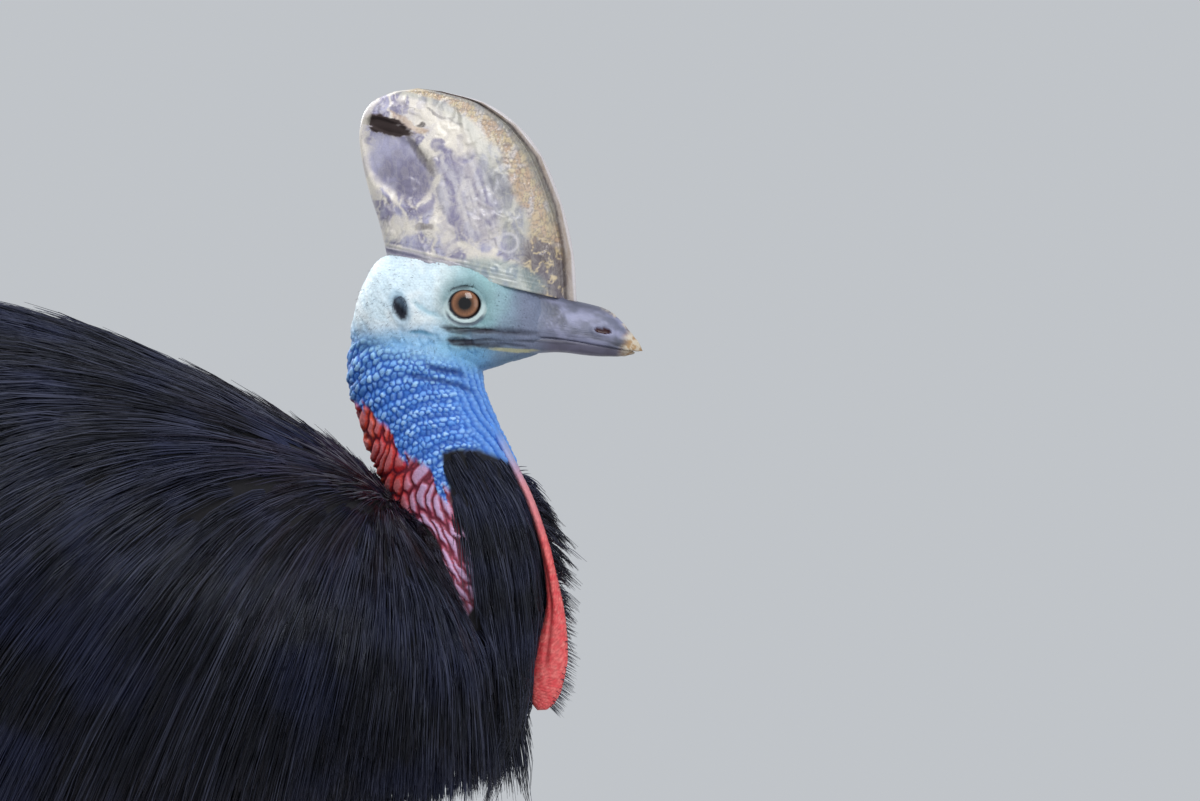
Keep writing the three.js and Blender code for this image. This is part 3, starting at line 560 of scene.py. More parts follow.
def loft(rings: Array, start: Sequence[float] | None = None, end: Sequence[float] | None = None) -> tuple:
    """Close a skin over rings of points.

    Args:
        rings: Array of ring, side and coordinate.
        start: Pole before the first ring, or its middle.
        end: Pole after the last ring, or its middle.

    Returns:
        The vertices, and a list of faces that point outwards.
    """
    count, sides = rings.shape[:2]
    start = rings[0].mean(0) if start is None else np.asarray(start, float)
    end = rings[-1].mean(0) if end is None else np.asarray(end, float)
    vertices = np.vstack([rings.reshape(-1, 3), start, end])
    faces = ring_faces(count, sides).tolist()
    first, last, base = len(vertices) - 2, len(vertices) - 1, (count - 1) * sides
    for s in range(sides):
        following = (s + 1) % sides
        faces.append([first, following, s])
        faces.append([last, base + s, base + following])
    if signed_volume(vertices, faces) < 0:
        faces = [face[::-1] for face in faces]
    return vertices, faces


def signed_volume(vertices: Array, faces: Sequence[Sequence[int]]) -> float:
    """Volume inside closed faces, below zero when they point inwards."""
    total = 0.0
    for size in (3, 4):
        chosen = np.array([face for face in faces if len(face) == size])
        for k in range(1, size - 1) if len(chosen) else ():
            a, b, c = vertices[chosen[:, 0]], vertices[chosen[:, k]], vertices[chosen[:, k + 1]]
            total += float(np.einsum("ij,ij->", a, np.cross(b, c))) / 6
    return total


def tube_rings(stations: Array, sides: int) -> Array:
    """Oval rings round the stations of a tube."""
    centres, _, side, front = tube_frames(stations)
    a = 2 * math.pi * np.arange(sides) / sides
    across = side[:, None] * (stations[:, 3, None] * np.sin(a))[..., None]
    fore = front[:, None] * (stations[:, 4, None] * np.cos(a))[..., None]
    return centres[:, None] + across + fore


def tube(stations: Array, sides: int, start_dome: float = 0.0, end_dome: float = 0.0) -> tuple:
    """A closed oval tube with domed ends, as vertices and faces."""
    centres, along, _, _ = tube_frames(stations)
    start = centres[0] - along[0] * start_dome
    end = centres[-1] + along[-1] * end_dome
    return loft(tube_rings(stations, sides), start, end)


def egg_rings(rows: Rows, count: int, sides: int) -> Array:
    """Upright egg-shaped sections along X from a table of x, top, widest height, bottom and half width."""
    x = np.linspace(rows[0][0], rows[-1][0], count)
    top, mid, bottom, half = (column[:, None] for column in read_table(rows, x).T)
    a = 2 * math.pi * np.arange(sides)[None] / sides
    tall = np.where(np.cos(a) > 0, top - mid, mid - bottom)
    return np.stack([np.repeat(x[:, None], sides, 1), half * np.sin(a), mid + tall * np.cos(a)], axis=2)


def ball(centre: Sequence[float], radii: Sequence[float], rings: int = 16, sides: int = 24) -> tuple:
    """An ellipsoid as vertices and faces.

    Args:
        centre: Its middle.
        radii: Its half lengths along X, Y and Z.
        rings: Rings from front to back.
        sides: Points in each ring.

    Returns:
        The vertices and the faces.
    """
    t = math.pi * (np.arange(rings) + 1) / (rings + 1)
    a = 2 * math.pi * np.arange(sides) / sides
    x = np.cos(t)[:, None] * np.ones(sides)
    y = np.sin(t)[:, None] * np.cos(a)
    z = np.sin(t)[:, None] * np.sin(a)
    middle, size = np.asarray(centre, float), np.asarray(radii, float)
    points = middle + np.stack([x, y, z], axis=2) * size
    return loft(points, middle + [size[0], 0, 0], middle - [size[0], 0, 0])


def to_metres(points: Array) -> Array:
    """The maker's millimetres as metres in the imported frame."""
    return (np.asarray(points, float) + OFFSET) * MM


def to_maker(points: Array) -> Array:
    """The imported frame's metres as the maker's millimetres."""
    return np.asarray(points, float) / MM - OFFSET


def add_to_scene(name: str, data: Any) -> Item:
    """A new object in the scene from a mesh, a light or a camera."""
    item = bpy.data.objects.new(name, data)
    bpy.context.scene.collection.objects.link(item)
    return item


def make_object(name: str, parts: Sequence[tuple]) -> Item:
    """One object from one or more sets of vertices and faces.

    Args:
        name: The object's name.
        parts: Pairs of vertices in millimetres and faces.

    Returns:
        The object, in the scene.
    """
    vertices: list = []
    faces: list = []
    for points, part_faces in parts:
        first = len(vertices)
        vertices.extend(to_metres(points).tolist())
        faces.extend([[first + i for i in face] for face in part_faces])
    mesh = bpy.data.meshes.new(name)
    mesh.from_pydata(vertices, [], faces)
    mesh.validate()
    mesh.update()
    mesh.shade_smooth()
    return add_to_scene(name, mesh)


def settle(item: Item) -> Item:
    """Turn an object's modifiers into its plain mesh.

    Args:
        item: The object.

    Returns:
        The same object.
    """
    graph = bpy.context.evaluated_depsgraph_get()
    mesh = bpy.data.meshes.new_from_object(item.evaluated_get(graph))
    item.modifiers.clear()
    old = item.data
    item.data = mesh
    mesh.name = item.name
    bpy.data.meshes.remove(old)
    return item


def remesh(item: Item, voxel: float) -> Item:
    """Fuse an object's overlapping shells into one even skin with faces of a voxel size in millimetres.

    Args:
        item: The object.
        voxel: The size of its new faces, in millimetres.

    Returns:
        The same object.
    """
    fuse = item.modifiers.new("fuse", "REMESH")
    fuse.mode = "VOXEL"
    fuse.voxel_size = voxel * MM
    soften = item.modifiers.new("soften", "SMOOTH")
    soften.factor = 0.5
    soften.iterations = 3
    return settle(item)


def join(item: Item, other: Item, operation: str = "UNION") -> None:
    """Join another closed object to this one, or cut it out, and drop it.

    Args:
        item: The object that stays.
        other: The object that is used up.
        operation: UNION to join, DIFFERENCE to cut out.
    """
    cut = item.modifiers.new("join", "BOOLEAN")
    cut.operation = operation
    cut.solver = "MANIFOLD"
    cut.object = other
    settle(item)
    bpy.data.objects.remove(other)


def points_of(item: Item) -> Array:
    """An object's vertices in the maker's millimetres."""
    flat = np.empty(3 * len(item.data.vertices), np.float32)
    item.data.vertices.foreach_get("co", flat)
    return to_maker(flat.reshape(-1, 3))


def normals_of(item: Item) -> Array:
    """An object's vertex normals."""
    flat = np.empty(3 * len(item.data.vertices), np.float32)
    item.data.vertex_normals.foreach_get("vector", flat)
    return flat.reshape(-1, 3).astype(float)


def move_points(item: Item, points: Array) -> None:
    """Set an object's vertices from the maker's millimetres."""
    item.data.vertices.foreach_set("co", to_metres(points).astype(np.float32).ravel())
    item.data.update()


def store(item: Item, name: str, values: Array) -> None:
    """Store numbers, vectors or colours on an object's vertices."""
    values = np.asarray(values, np.float32)
    kind, key = ATTRIBUTE_KINDS[1 if values.ndim == 1 else values.shape[1]]
    item.data.attributes.new(name, kind, "POINT").data.foreach_set(key, values.ravel())


def paint(item: Item, colours: Array) -> None:
    """Store a colour on each vertex as the piece's tint."""
    store(item, "tint", np.hstack([np.clip(colours, 0, 1), np.ones((len(colours), 1))]))


def dress(
    item: Item, material: Material, nodes: Sequence[str] = ()
) -> None:
    """Give a piece its finish, its body and the nodes that it stands for.

    Args:
        item: The piece.
        material: Its finish.
        nodes: The solids that it stands for; none for a loose piece.
    """
    item.data.materials.clear()
    item.data.materials.append(material)
    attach(item, "root")
    if nodes:
        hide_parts(*nodes)
    item.data.calc_loop_triangles()
    log.info("%s: %d triangles", item.name, len(item.data.loop_triangles))


# Finishes


class Socket:
    """A node's output that takes part in Python arithmetic."""

    def __init__(self, builder: "TreeBuilder", link: bpy.types.NodeSocket) -> None:
        """Wrap one output of a node in a builder's tree."""
        self.builder = builder
        self.link = link

    def twin(self, name: str) -> "Socket":
        """Another output of the same node."""
        return Socket(self.builder, self.link.node.outputs[name])

    def maths(self, operation: str, *others: Any) -> "Socket":
        """Add a Math node with this value first."""
        inputs = dict(enumerate((self, *others)))
        return self.builder.node("ShaderNodeMath", {"operation": operation}, inputs)

    def __add__(self, other: Any) -> "Socket":
        """Sum."""
        return self.maths("ADD", other)

    __radd__ = __add__

    def __sub__(self, other: Any) -> "Socket":
        """Difference."""
        return self.maths("SUBTRACT", other)

    def __rsub__(self, other: Any) -> "Socket":
        """Difference from a number."""
        return self.builder.node("ShaderNodeMath", {"operation": "SUBTRACT"}, {0: other, 1: self})

    def __mul__(self, other: Any) -> "Socket":
        """Product."""
        return self.maths("MULTIPLY", other)

    __rmul__ = __mul__

    def __truediv__(self, other: Any) -> "Socket":
        """Quotient."""
        return self.maths("DIVIDE", other)

    def __pow__(self, other: Any) -> "Socket":
        """Power."""
        return self.maths("POWER", other)

    def step(self, low: float, high: float) -> "Socket":
        """A soft step from 0 at low to 1 at high."""
        inputs = {"Value": self, "From Min": low, "From Max": high}
        return self.builder.node("ShaderNodeMapRange", {"interpolation_type": "SMOOTHSTEP"}, inputs)

    def between(self, low: float, high: float) -> "Socket":
        """A value from 0 to 1 spread out from low to high."""
        return self.builder.node("ShaderNodeMapRange", {}, {"Value": self, "To Min": low, "To Max": high})


class TreeBuilder:
    """A node tree built from Python expressions."""

    def __init__(self, tree: Tree) -> None:
        """Build in a tree."""
        self.tree = tree

    def node(self, kind: str, settings: dict, inputs: dict, output: Any = 0) -> Socket:
        """Add a node.

        Args:
            kind: The node's type.
            settings: Its properties, set first.
            inputs: Values or sockets for its inputs, by name or number.
            output: The output to return, by name or number.

        Returns:
            The output as a socket for expressions.
        """
        made = self.tree.nodes.new(kind)
        for key, value in settings.items():
            setattr(made, key, value)
        for key, value in inputs.items():
            self.feed(made.inputs[key], value)
        return Socket(self, made.outputs[output])

    def feed(self, socket: bpy.types.NodeSocket, value: Any) -> None:
        """Link a socket, or set its value."""
        if isinstance(value, Socket):
            self.tree.links.new(value.link, socket)
        elif isinstance(value, tuple) and len(value) == 3 and socket.type == "RGBA":
            socket.default_value = (*value, 1)
        else:
            socket.default_value = value


class Shader(TreeBuilder):
    """One material, built from Python expressions."""

    def __init__(self, name: str) -> None:
        """Start an empty material with a Principled surface."""
        self.material = bpy.data.materials.new(name)
        self.material.use_nodes = True
        super().__init__(self.material.node_tree)
        self.tree.nodes.clear()
        self.surface = self.tree.nodes.new("ShaderNodeBsdfPrincipled")
        output = self.tree.nodes.new("ShaderNodeOutputMaterial")
        self.tree.links.new(self.surface.outputs[0], output.inputs["Surface"])

    def coords(self) -> Socket:
        """The piece's own coordinates, in metres."""
        return self.node("ShaderNodeTexCoord", {}, {}, "Object")

    def attribute(self, name: str, output: str = "Fac") -> Socket:
        """A value or colour that the mesh carries."""
        return self.node("ShaderNodeAttribute", {"attribute_name": name}, {}, output)

    def noise(self, scale: float, detail: float, distortion: float = 0.0, vector: Any = None) -> Socket:
        """Soft noise from 0 to 1."""
        inputs = {"Scale": scale, "Detail": detail, "Distortion": distortion}
        inputs["Vector"] = vector or self.coords()
        return self.node("ShaderNodeTexNoise", {}, inputs)

    def stretched(self, scale: Colour) -> Socket:
        """Coordinates stretched by three factors."""
        return self.node("ShaderNodeMapping", {}, {"Vector": self.coords(), "Scale": scale})

    def mix(self, factor: Any, a: Any, b: Any, blend_type: str = "MIX") -> Socket:
        """Mix two colours."""
        settings = {"data_type": "RGBA", "blend_type": blend_type}
        return self.node("ShaderNodeMix", settings, {0: factor, 6: a, 7: b}, 2)

    def shaded(self, colour: Any, shade: Socket) -> Socket:
        """A colour times a grey value."""
        grey = self.node("ShaderNodeCombineColor", {}, {0: shade, 1: shade, 2: shade})
        return self.mix(1.0, colour, grey, "MULTIPLY")

    def ramp(self, value: Any, stops: Sequence[tuple[float, Colour]]) -> Socket:
        """Colour from a value, by stops of a place and its colour."""
        made = self.node("ShaderNodeValToRGB", {}, {0: value})
        elements = made.link.node.color_ramp.elements
        while len(elements) < len(stops):
            elements.new(0.5)
        for element, (place, colour) in zip(elements, stops):
            element.position = place
            element.color = (*colour, 1)
        return made

    def bump(self, height: Socket, distance: float, strength: float) -> Socket:
        """Relief from a height, whose distance is in metres."""
        inputs = {"Height": height, "Distance": distance, "Strength": strength}
        return self.node("ShaderNodeBump", {}, inputs)

    def finish(self, **inputs: Any) -> Material:
        """Set the surface's sockets, with underscores for spaces, and give the material back."""
        for key, value in inputs.items():
            self.feed(self.surface.inputs[key.replace("_", " ")], value)
        return self.material


@dataclass(frozen=True)
class SkinFinish:
    """Bare skin: the painted tint, broken up by fine pores and a slight sheen."""

    name: str = "bare_skin"
    pore: float = 1.1
    roughness: float = 0.52

    def build(self) -> Material:
        """Make the material."""
        shader = Shader(self.name)
        inputs = {"Vector": shader.coords(), "Scale": 1000 / self.pore}
        relief = shader.node("ShaderNodeTexVoronoi", {}, inputs) * 0.5 + shader.noise(420, 4)
        bright = shader.attribute("tint").step(0.01, 0.04)
        mottle = shader.noise(140, 5).between(0.78, 1.22)
        return shader.finish(
            Base_Color=shader.shaded(shader.attribute("tint", "Color"), mottle),
            Roughness=shader.noise(60, 2) * 0.2 + (self.roughness - 0.1) + (1 - bright) * 0.4,
            Normal=shader.bump(relief, 0.0005, 0.6),
            Specular_IOR_Level=0.36,
        )


@dataclass(frozen=True)
class PlumageFinish:
    """Glossy black hair-like barbs, browner at the root, with a painted blue reflection in patches and a
    share of paler barbs as painted highlights.
    """

    name: str = "plumage"
    root: Colour = (0.007, 0.005, 0.005)
    body: Colour = (0.0075, 0.0075, 0.011)
    tip: Colour = (0.020, 0.016, 0.017)
    sheen: Colour = (0.021, 0.025, 0.060)
    streak: Colour = (0.050, 0.054, 0.088)
    rust: Colour = (0.045, 0.016, 0.014)
    pale: Colour = (0.22, 0.22, 0.24)
    roughness: float = 0.15

    def build(self) -> Material:
        """Make the material."""
        shader = Shader(self.name)
        own = shader.attribute("own")
        stops = ((0.0, self.root), (0.35, self.body), (0.8, self.body), (1.0, self.tip))
        length = shader.ramp(shader.attribute("place"), stops)
        # Painted reflection: blue patches laid over the black. Painted highlights: a share of the barbs made
        # paler. The pale share is the nape's pale hairs and, along the top of the back, painted rim light.
        blue = shader.mix(shader.noise(16, 2).step(0.42, 0.68) * 0.8, length, self.sheen)
        highlit_barbs = shader.mix(own.step(0.68, 0.86) * 0.75, shader.shaded(blue, own * 1.2 + 0.4), self.streak)
        rusty = shader.mix(shader.attribute("rust"), highlit_barbs, self.rust)
        return shader.finish(
            Base_Color=shader.mix(shader.attribute("pale") * own.step(0.5, 0.62), rusty, self.pale),
            Roughness=own * 0.3 + self.roughness,
            Specular_IOR_Level=0.42,
            Specular_Tint=(0.72, 0.79, 1.0, 1.0),
        )


@dataclass(frozen=True)
class HornFinish:
    """Satin horn: the painted tint with clouding and fine growth lines."""

    name: str
    cloud: float = 55.0
    strength: float = 0.35
    roughness: float = 0.42
    stretch: Colour = (1.0, 1.0, 3.0)

    def build(self) -> Material:
        """Make the material."""
        shader = Shader(self.name)
        lines = shader.noise(260, 4, 0.4, shader.stretched(self.stretch))
        clouds = shader.noise(self.cloud, 6, 1.2)
        shade = clouds.between(1 - self.strength, 1 + self.strength)
        return shader.finish(
            Base_Color=shader.shaded(shader.attribute("tint", "Color"), shade),
            Roughness=lines * 0.25 + (self.roughness - 0.12),
            Normal=shader.bump(lines + clouds * 0.5, 0.0005, 0.5),
        )


@dataclass(frozen=True)
class CasqueFinish:
    """Weathered casque horn: the painted marbling with finer veins, grit and a waxy sheen."""

    name: str = "casque_horn"
    vein: Colour = (0.66, 0.62, 0.56)

    def build(self) -> Material:
        """Make the material."""
        shader = Shader(self.name)
        veins = shader.noise(110, 5, 1.8, shader.stretched((1.0, 1.0, 0.55)))
        vein = 1 - ((veins - 0.5) ** 2 * 60).step(0.0, 0.3)
        horn = shader.attribute("tint").step(0.03, 0.12)
        veined = shader.mix(vein * horn * 0.12, shader.attribute("tint", "Color"), self.vein)
        grit = shader.noise(900, 3, 0.4)
        return shader.finish(
            Base_Color=shader.shaded(veined, grit.between(0.8, 1.2)),
            Roughness=grit * 0.22 + 0.24 + (1 - horn) * 0.5,
            Normal=shader.bump(vein * 0.2 + grit * 0.4 + veins * 0.5, 0.0003, 0.35),
            Coat_Weight=horn * 0.35,
            Coat_Roughness=0.18,
        )


@dataclass(frozen=True)
class EyeFinish:
    """A wet amber-brown iris with a dark pupil and rim."""

    name: str
    side: Side
    iris: float = 11.9
    stops: tuple[tuple[float, Colour], ...] = (
        (0.0, (0.002, 0.002, 0.003)),
        (0.36, (0.002, 0.002, 0.003)),
        (0.42, (0.06, 0.028, 0.014)),
        (0.56, (0.18, 0.075, 0.036)),
        (0.74, (0.31, 0.135, 0.066)),
        (0.86, (0.08, 0.035, 0.02)),
        (0.92, (0.004, 0.004, 0.005)),
    )

    def build(self) -> Material:
        """Make the material."""
        shader = Shader(self.name)
        centre = to_metres(np.array([EYE_AT[0] + 0.6, self.side.value * EYE_AT[1], EYE_AT[2]]))
        inputs = {0: shader.coords(), 1: tuple(float(value) for value in centre)}
        from_centre = shader.node("ShaderNodeVectorMath", {"operation": "SUBTRACT"}, inputs)
        across = shader.node("ShaderNodeSeparateXYZ", {}, {0: from_centre}, "X")
        up = across.twin("Z")
        reach = (across * across + up * up) ** 0.5 * (1000 / self.iris)
        turn = up.maths("ARCTAN2", across)
        spokes = shader.node("ShaderNodeCombineXYZ", {}, {0: turn * 5.0, 1: reach * 1.2, 2: 0.0})
        streak = shader.noise(3.0, 4, 0.3, spokes)
        colour = shader.ramp(reach + (streak - 0.5) * 0.07, self.stops)
        return shader.finish(
            Base_Color=shader.shaded(colour, streak * 0.7 + 0.6),
            Roughness=0.1,
            Specular_IOR_Level=0.2,
            Coat_Weight=0.7,
            Coat_Roughness=0.02,
        )


@dataclass(frozen=True)
class StudioFinish:
    """Matt pale paper for the floor."""

    name: str = "studio_floor"
    colour: Colour = (0.50, 0.50, 0.49)

    def build(self) -> Material:
        """Make the material."""
        shader = Shader(self.name)
        shade = shader.mix(shader.noise(3, 2) * 0.06, self.colour, (0.5, 0.5, 0.5))
        return shader.finish(Base_Color=shade, Roughness=0.75)


# Node trees that sweep what repeats


class GeometryTree(TreeBuilder):
    """A Geometry Nodes tree with named inputs."""

    def __init__(self, name: str) -> None:
        """Start a tree that takes guides in and gives one geometry out."""
        super().__init__(bpy.data.node_groups.new(name, "GeometryNodeTree"))
        self.tree.interface.new_socket("Geometry", in_out="OUTPUT", socket_type="NodeSocketGeometry")
        self.entry = self.tree.nodes.new("NodeGroupInput")
        self.exit = self.tree.nodes.new("NodeGroupOutput")
        guides = self.value("Guides", "NodeSocketGeometry")
        self.curves = self.node("GeometryNodeMeshToCurve", {}, {"Mesh": guides})

    def value(self, name: str, kind: str, default: Any = None) -> Socket:
        """Add a named input and return its socket."""
        made = self.tree.interface.new_socket(name, in_out="INPUT", socket_type=kind)
        if default is not None:
            made.default_value = default
        return Socket(self, next(out for out in self.entry.outputs if out.identifier == made.identifier))

    def scale(self, vector: Socket, factor: Any) -> Socket:
        """A vector times a number."""
        return self.node("ShaderNodeVectorMath", {"operation": "SCALE"}, {0: vector, "Scale": factor})

    def add(self, a: Socket, b: Socket) -> Socket:
        """The sum of two vectors."""
        return self.node("ShaderNodeVectorMath", {"operation": "ADD"}, {0: a, 1: b})

    def stored(self, name: str, kind: str = "FLOAT") -> Socket:
        """A value that the guides carry."""
        return self.node("GeometryNodeInputNamedAttribute", {"data_type": kind}, {"Name": name})

    def keep(
        self, geometry: Socket, name: str, value: Socket, kind: str = "FLOAT", domain: str = "POINT"
    ) -> Socket:
        """Store a value on the geometry."""
        settings = {"data_type": kind, "domain": domain}
        inputs = {"Geometry": geometry, "Name": name, "Value": value}
        return self.node("GeometryNodeStoreNamedAttribute", settings, inputs)

    def chance(self, low: float, high: float, seed: Socket) -> Socket:
        """A random number that is the same all along a curve."""
        inputs = {2: low, 3: high, "Seed": seed}
        drawn = self.node("FunctionNodeRandomValue", {"data_type": "FLOAT"}, inputs, 1)
        settings = {"data_type": "FLOAT", "domain": "CURVE"}
        return self.node("GeometryNodeFieldOnDomain", settings, {0: drawn})

    def sweep(self, curves: Socket, radius: Socket, sides: Any, material: Socket) -> None:
        """Sweep a small ring along the curves, close it, unwrap it, dress it and end the tree.

        Args:
            curves: The curves to sweep along.
            radius: Their radius at each point, in metres.
            sides: How many sides the ring has.
            material: The finish.
        """
        inputs = {"Resolution": sides, "Radius": 1.0}
        ring = self.node("GeometryNodeCurvePrimitiveCircle", {"mode": "RADIUS"}, inputs)
        around = self.keep(ring, "around", self.node("GeometryNodeInputIndex", {}, {}) / 3.0)
        inputs = {"Curve": curves, "Profile Curve": around, "Scale": radius, "Fill Caps": True}
        solid = self.node("GeometryNodeCurveToMesh", {}, inputs)
        smooth = self.node("GeometryNodeSetShadeSmooth", {}, {"Geometry": solid})
        across = self.stored("own") * SHEET_OWN + self.stored("around") * SHEET_AROUND
        inputs = {0: across, 1: self.stored("place") * SHEET_LENGTH, 2: 0.0}
        patch = self.node("ShaderNodeCombineXYZ", {}, inputs)
        on_sheet = self.add(self.stored("root_uv", "FLOAT_VECTOR"), patch)
        mapped = self.keep(smooth, "OFBake", on_sheet, "FLOAT2", "CORNER")
        real = self.node("GeometryNodeRealizeInstances", {}, {"Geometry": mapped})
        done = self.node("GeometryNodeSetMaterial", {}, {"Geometry": real, "Material": material})
        self.feed(self.exit.inputs[0], done)


def feather_tree() -> Tree:
    """Sweep loose feathers: each guide becomes a fan of hair-like barbs that share a root.

    Returns:
        The tree, whose inputs are named for what they set.
    """
    tree = GeometryTree("loose_feathers")
    barbs = tree.value("Barbs", "NodeSocketInt", 12)
    radius = tree.value("Barb radius", "NodeSocketFloat", 0.0007)
    taper = tree.value("Taper", "NodeSocketFloat", 0.78)
    lift = tree.value("Lift", "NodeSocketFloat", 0.004)
    wave = tree.value("Wave", "NodeSocketFloat", 0.003)
    uneven = tree.value("Uneven length", "NodeSocketFloat", 0.3)
    base = tree.value("Root width", "NodeSocketFloat", 0.5)
    seed = tree.value("Seed", "NodeSocketInt", 1)
    material = tree.value("Material", "NodeSocketMaterial")
    inputs = {"Geometry": tree.curves, "Amount": barbs}
    copies = tree.node("GeometryNodeDuplicateElements", {"domain": "SPLINE"}, inputs)
    place = tree.stored("place")
    own = tree.chance(0.0, 1.0, seed)
    fan = ((copies.twin("Duplicate Index") + own) / barbs - 0.5) * 2.0
    opening = place**0.7 * (1.0 - base) + base
    aside = tree.scale(tree.stored("side", "FLOAT_VECTOR"), fan * tree.stored("spread") * opening)
    height = tree.chance(-0.4, 1.0, seed + 11) * lift
    upward = tree.scale(tree.stored("out", "FLOAT_VECTOR"), height * place)
    shorter = fan.maths("ABSOLUTE") * uneven + tree.chance(-0.05, 0.12, seed + 23)
    back = tree.scale(tree.stored("reach", "FLOAT_VECTOR"), shorter * -1.0)
    phase = tree.scale(tree.node("GeometryNodeInputPosition", {}, {}), 14.0)
    shift = tree.node("ShaderNodeCombineXYZ", {}, {0: own * 37.0, 1: 0.0, 2: 0.0})
    inputs = {"Vector": tree.add(phase, shift), "Scale": 1.0, "Detail": 1.0}
    wind = tree.node("ShaderNodeTexNoise", {}, inputs, 1)
    centred = tree.node("ShaderNodeVectorMath", {"operation": "SUBTRACT"}, {0: wind, 1: (0.5, 0.5, 0.5)})
    sway = tree.scale(centred, place * wave * 2.0)
    offset = tree.add(tree.add(aside, upward), tree.add(back, sway))
    moved = tree.node("GeometryNodeSetPosition", {}, {"Geometry": copies, "Offset": offset})
    tree.sweep(tree.keep(moved, "own", own), (1.0 - place**1.6 * taper) * radius, 3, material)
    return tree.tree


def rod_tree() -> Tree:
    """Sweep plain round rods whose guides carry their own radius."""
    tree = GeometryTree("bare_quills")
    sides = tree.value("Sides", "NodeSocketInt", 8)
    material = tree.value("Material", "NodeSocketMaterial")
    tree.sweep(tree.curves, tree.stored("thick"), sides, material)
    return tree.tree


def grow(item: Item, tree: Tree, settings: dict) -> None:
    """Run a node tree on an object's guides and keep its result as a plain mesh.

    Args:
        item: The object that holds the guides.
        tree: The node tree.
        settings: Its inputs by name.
    """
    sprout = item.modifiers.new("grow", "NODES")
    sprout.node_group = tree
    for socket in tree.interface.items_tree:
        if socket.in_out == "INPUT" and socket.name in settings:
            sprout[socket.identifier] = settings[socket.name]
    settle(item)


# Plumage


@dataclass
class Guides:
    """Feather guide lines and what each carries along it."""

    lines: Array
    normals: Array
    spread: Array | float
    root_uv: Array
    rust: Array | float = 0.0
    pale: Array | float = 0.0

    def __post_init__(self) -> None:
        """Give each line its own spread, rust and pale share where one number stands for all."""
        each = np.ones(len(self.lines))
        self.spread, self.rust, self.pale = self.spread * each, self.rust * each, self.pale * each

    def pick(self, mask: Array) -> "Guides":
        """The guides that a mask chooses."""
        return Guides(*(getattr(self, field.name)[mask] for field in fields(self)))

    def build(self, name: str) -> Item:
        """Make the guides an object whose vertices carry the feathers' values.

        Args:
            name: The object's name.

        Returns:
            The object.
        """
        count, steps = self.lines.shape[:2]
        along = unit(np.gradient(self.lines, axis=1))
        side = unit(np.cross(along, self.normals))
        first = (np.arange(count)[:, None] * steps + np.arange(steps - 1)).ravel()
        edges = np.stack([first, first + 1], axis=1)
        mesh = bpy.data.meshes.new(name)
        mesh.from_pydata(to_metres(self.lines.reshape(-1, 3)).tolist(), edges.tolist(), [])
        item = add_to_scene(name, mesh)
        each = np.ones((count, steps))
        store(item, "place", (each * np.linspace(0, 1, steps)).ravel())
        store(item, "spread", (each * self.spread[:, None] * MM).ravel())
        store(item, "rust", (each * self.rust[:, None]).ravel())
        store(item, "pale", (each * self.pale[:, None] * np.linspace(0.6, 1, steps)).ravel())
        store(item, "side", side.reshape(-1, 3))
        store(item, "out", self.normals.reshape(-1, 3))
        store(item, "reach", ((self.lines - self.lines[:, :1]) * MM).reshape(-1, 3))
        on_sheet = np.hstack([self.root_uv, np.zeros((count, 1))])
        store(item, "root_uv", np.repeat(on_sheet, steps, axis=0))
        return item


def coat_lie(points: Array) -> Array:
    """The lie of the coat: it fans out from the foot of the neck and turns ever more downwards behind it.

    Args:
        points: Points in millimetres, one to a row.

    Returns:
        The direction in which the coat lies at each.
    """
    x, z = points[:, 0] - COLLAR_AT[0], points[:, 2] - COLLAR_AT[1]
    reach = np.hypot(x, z) + 1e-6
    low = 1 - np.clip((points[:, 2] - 640) / 260, 0, 1)
    down = 0.5 + 0.6 * smoothstep(reach, 220, 640) + 0.55 * low
    down = down + 1.3 * smoothstep(-points[:, 0], 290, 440)
    return lengthwise(x / reach, z / reach - down)


def lay_lines(
    roots: Array, distance: Field, lie: Field, length: Array, rise: Array, steps: int = 4
) -> tuple[Array, Array]:
    """Lay feathers from their roots: each slides along the body, lifts slowly and hangs free under it.

    Args:
        roots: Where the feathers leave the skin.
        distance: The body's distance field.
        lie: The direction of the coat at points.
        length: Each feather's length.
        rise: Each feather's height over the skin at its tip.
        steps: Stretches in each line.

    Returns:
        The lines and the outward normals along them.
    """
    normal = outward(distance, roots)
    point = roots - normal * ROOT_DEPTH
    lines, normals = [point], [normal]
    point = roots.copy()
    for i in range(1, steps + 1):
        way = lie(point)
        into = (way * normal).sum(1, keepdims=True)
        held = (into < 0) | (normal[:, 2:] > FACING_UP)
        way = unit(np.where(held, way - normal * into, way))
        point = point + way * (length / steps)[:, None]
        normal = outward(distance, point)
        wanted = rise * (1 - (1 - i / steps) ** 1.7)
        gap = distance(point)
        push = (gap < wanted) | (normal[:, 2] > FACING_UP)
        point = point + normal * np.where(push, wanted - gap, 0)[:, None]
        lines.append(point)
        normals.append(normal)
    return np.stack(lines, axis=1), np.stack(normals, axis=1)


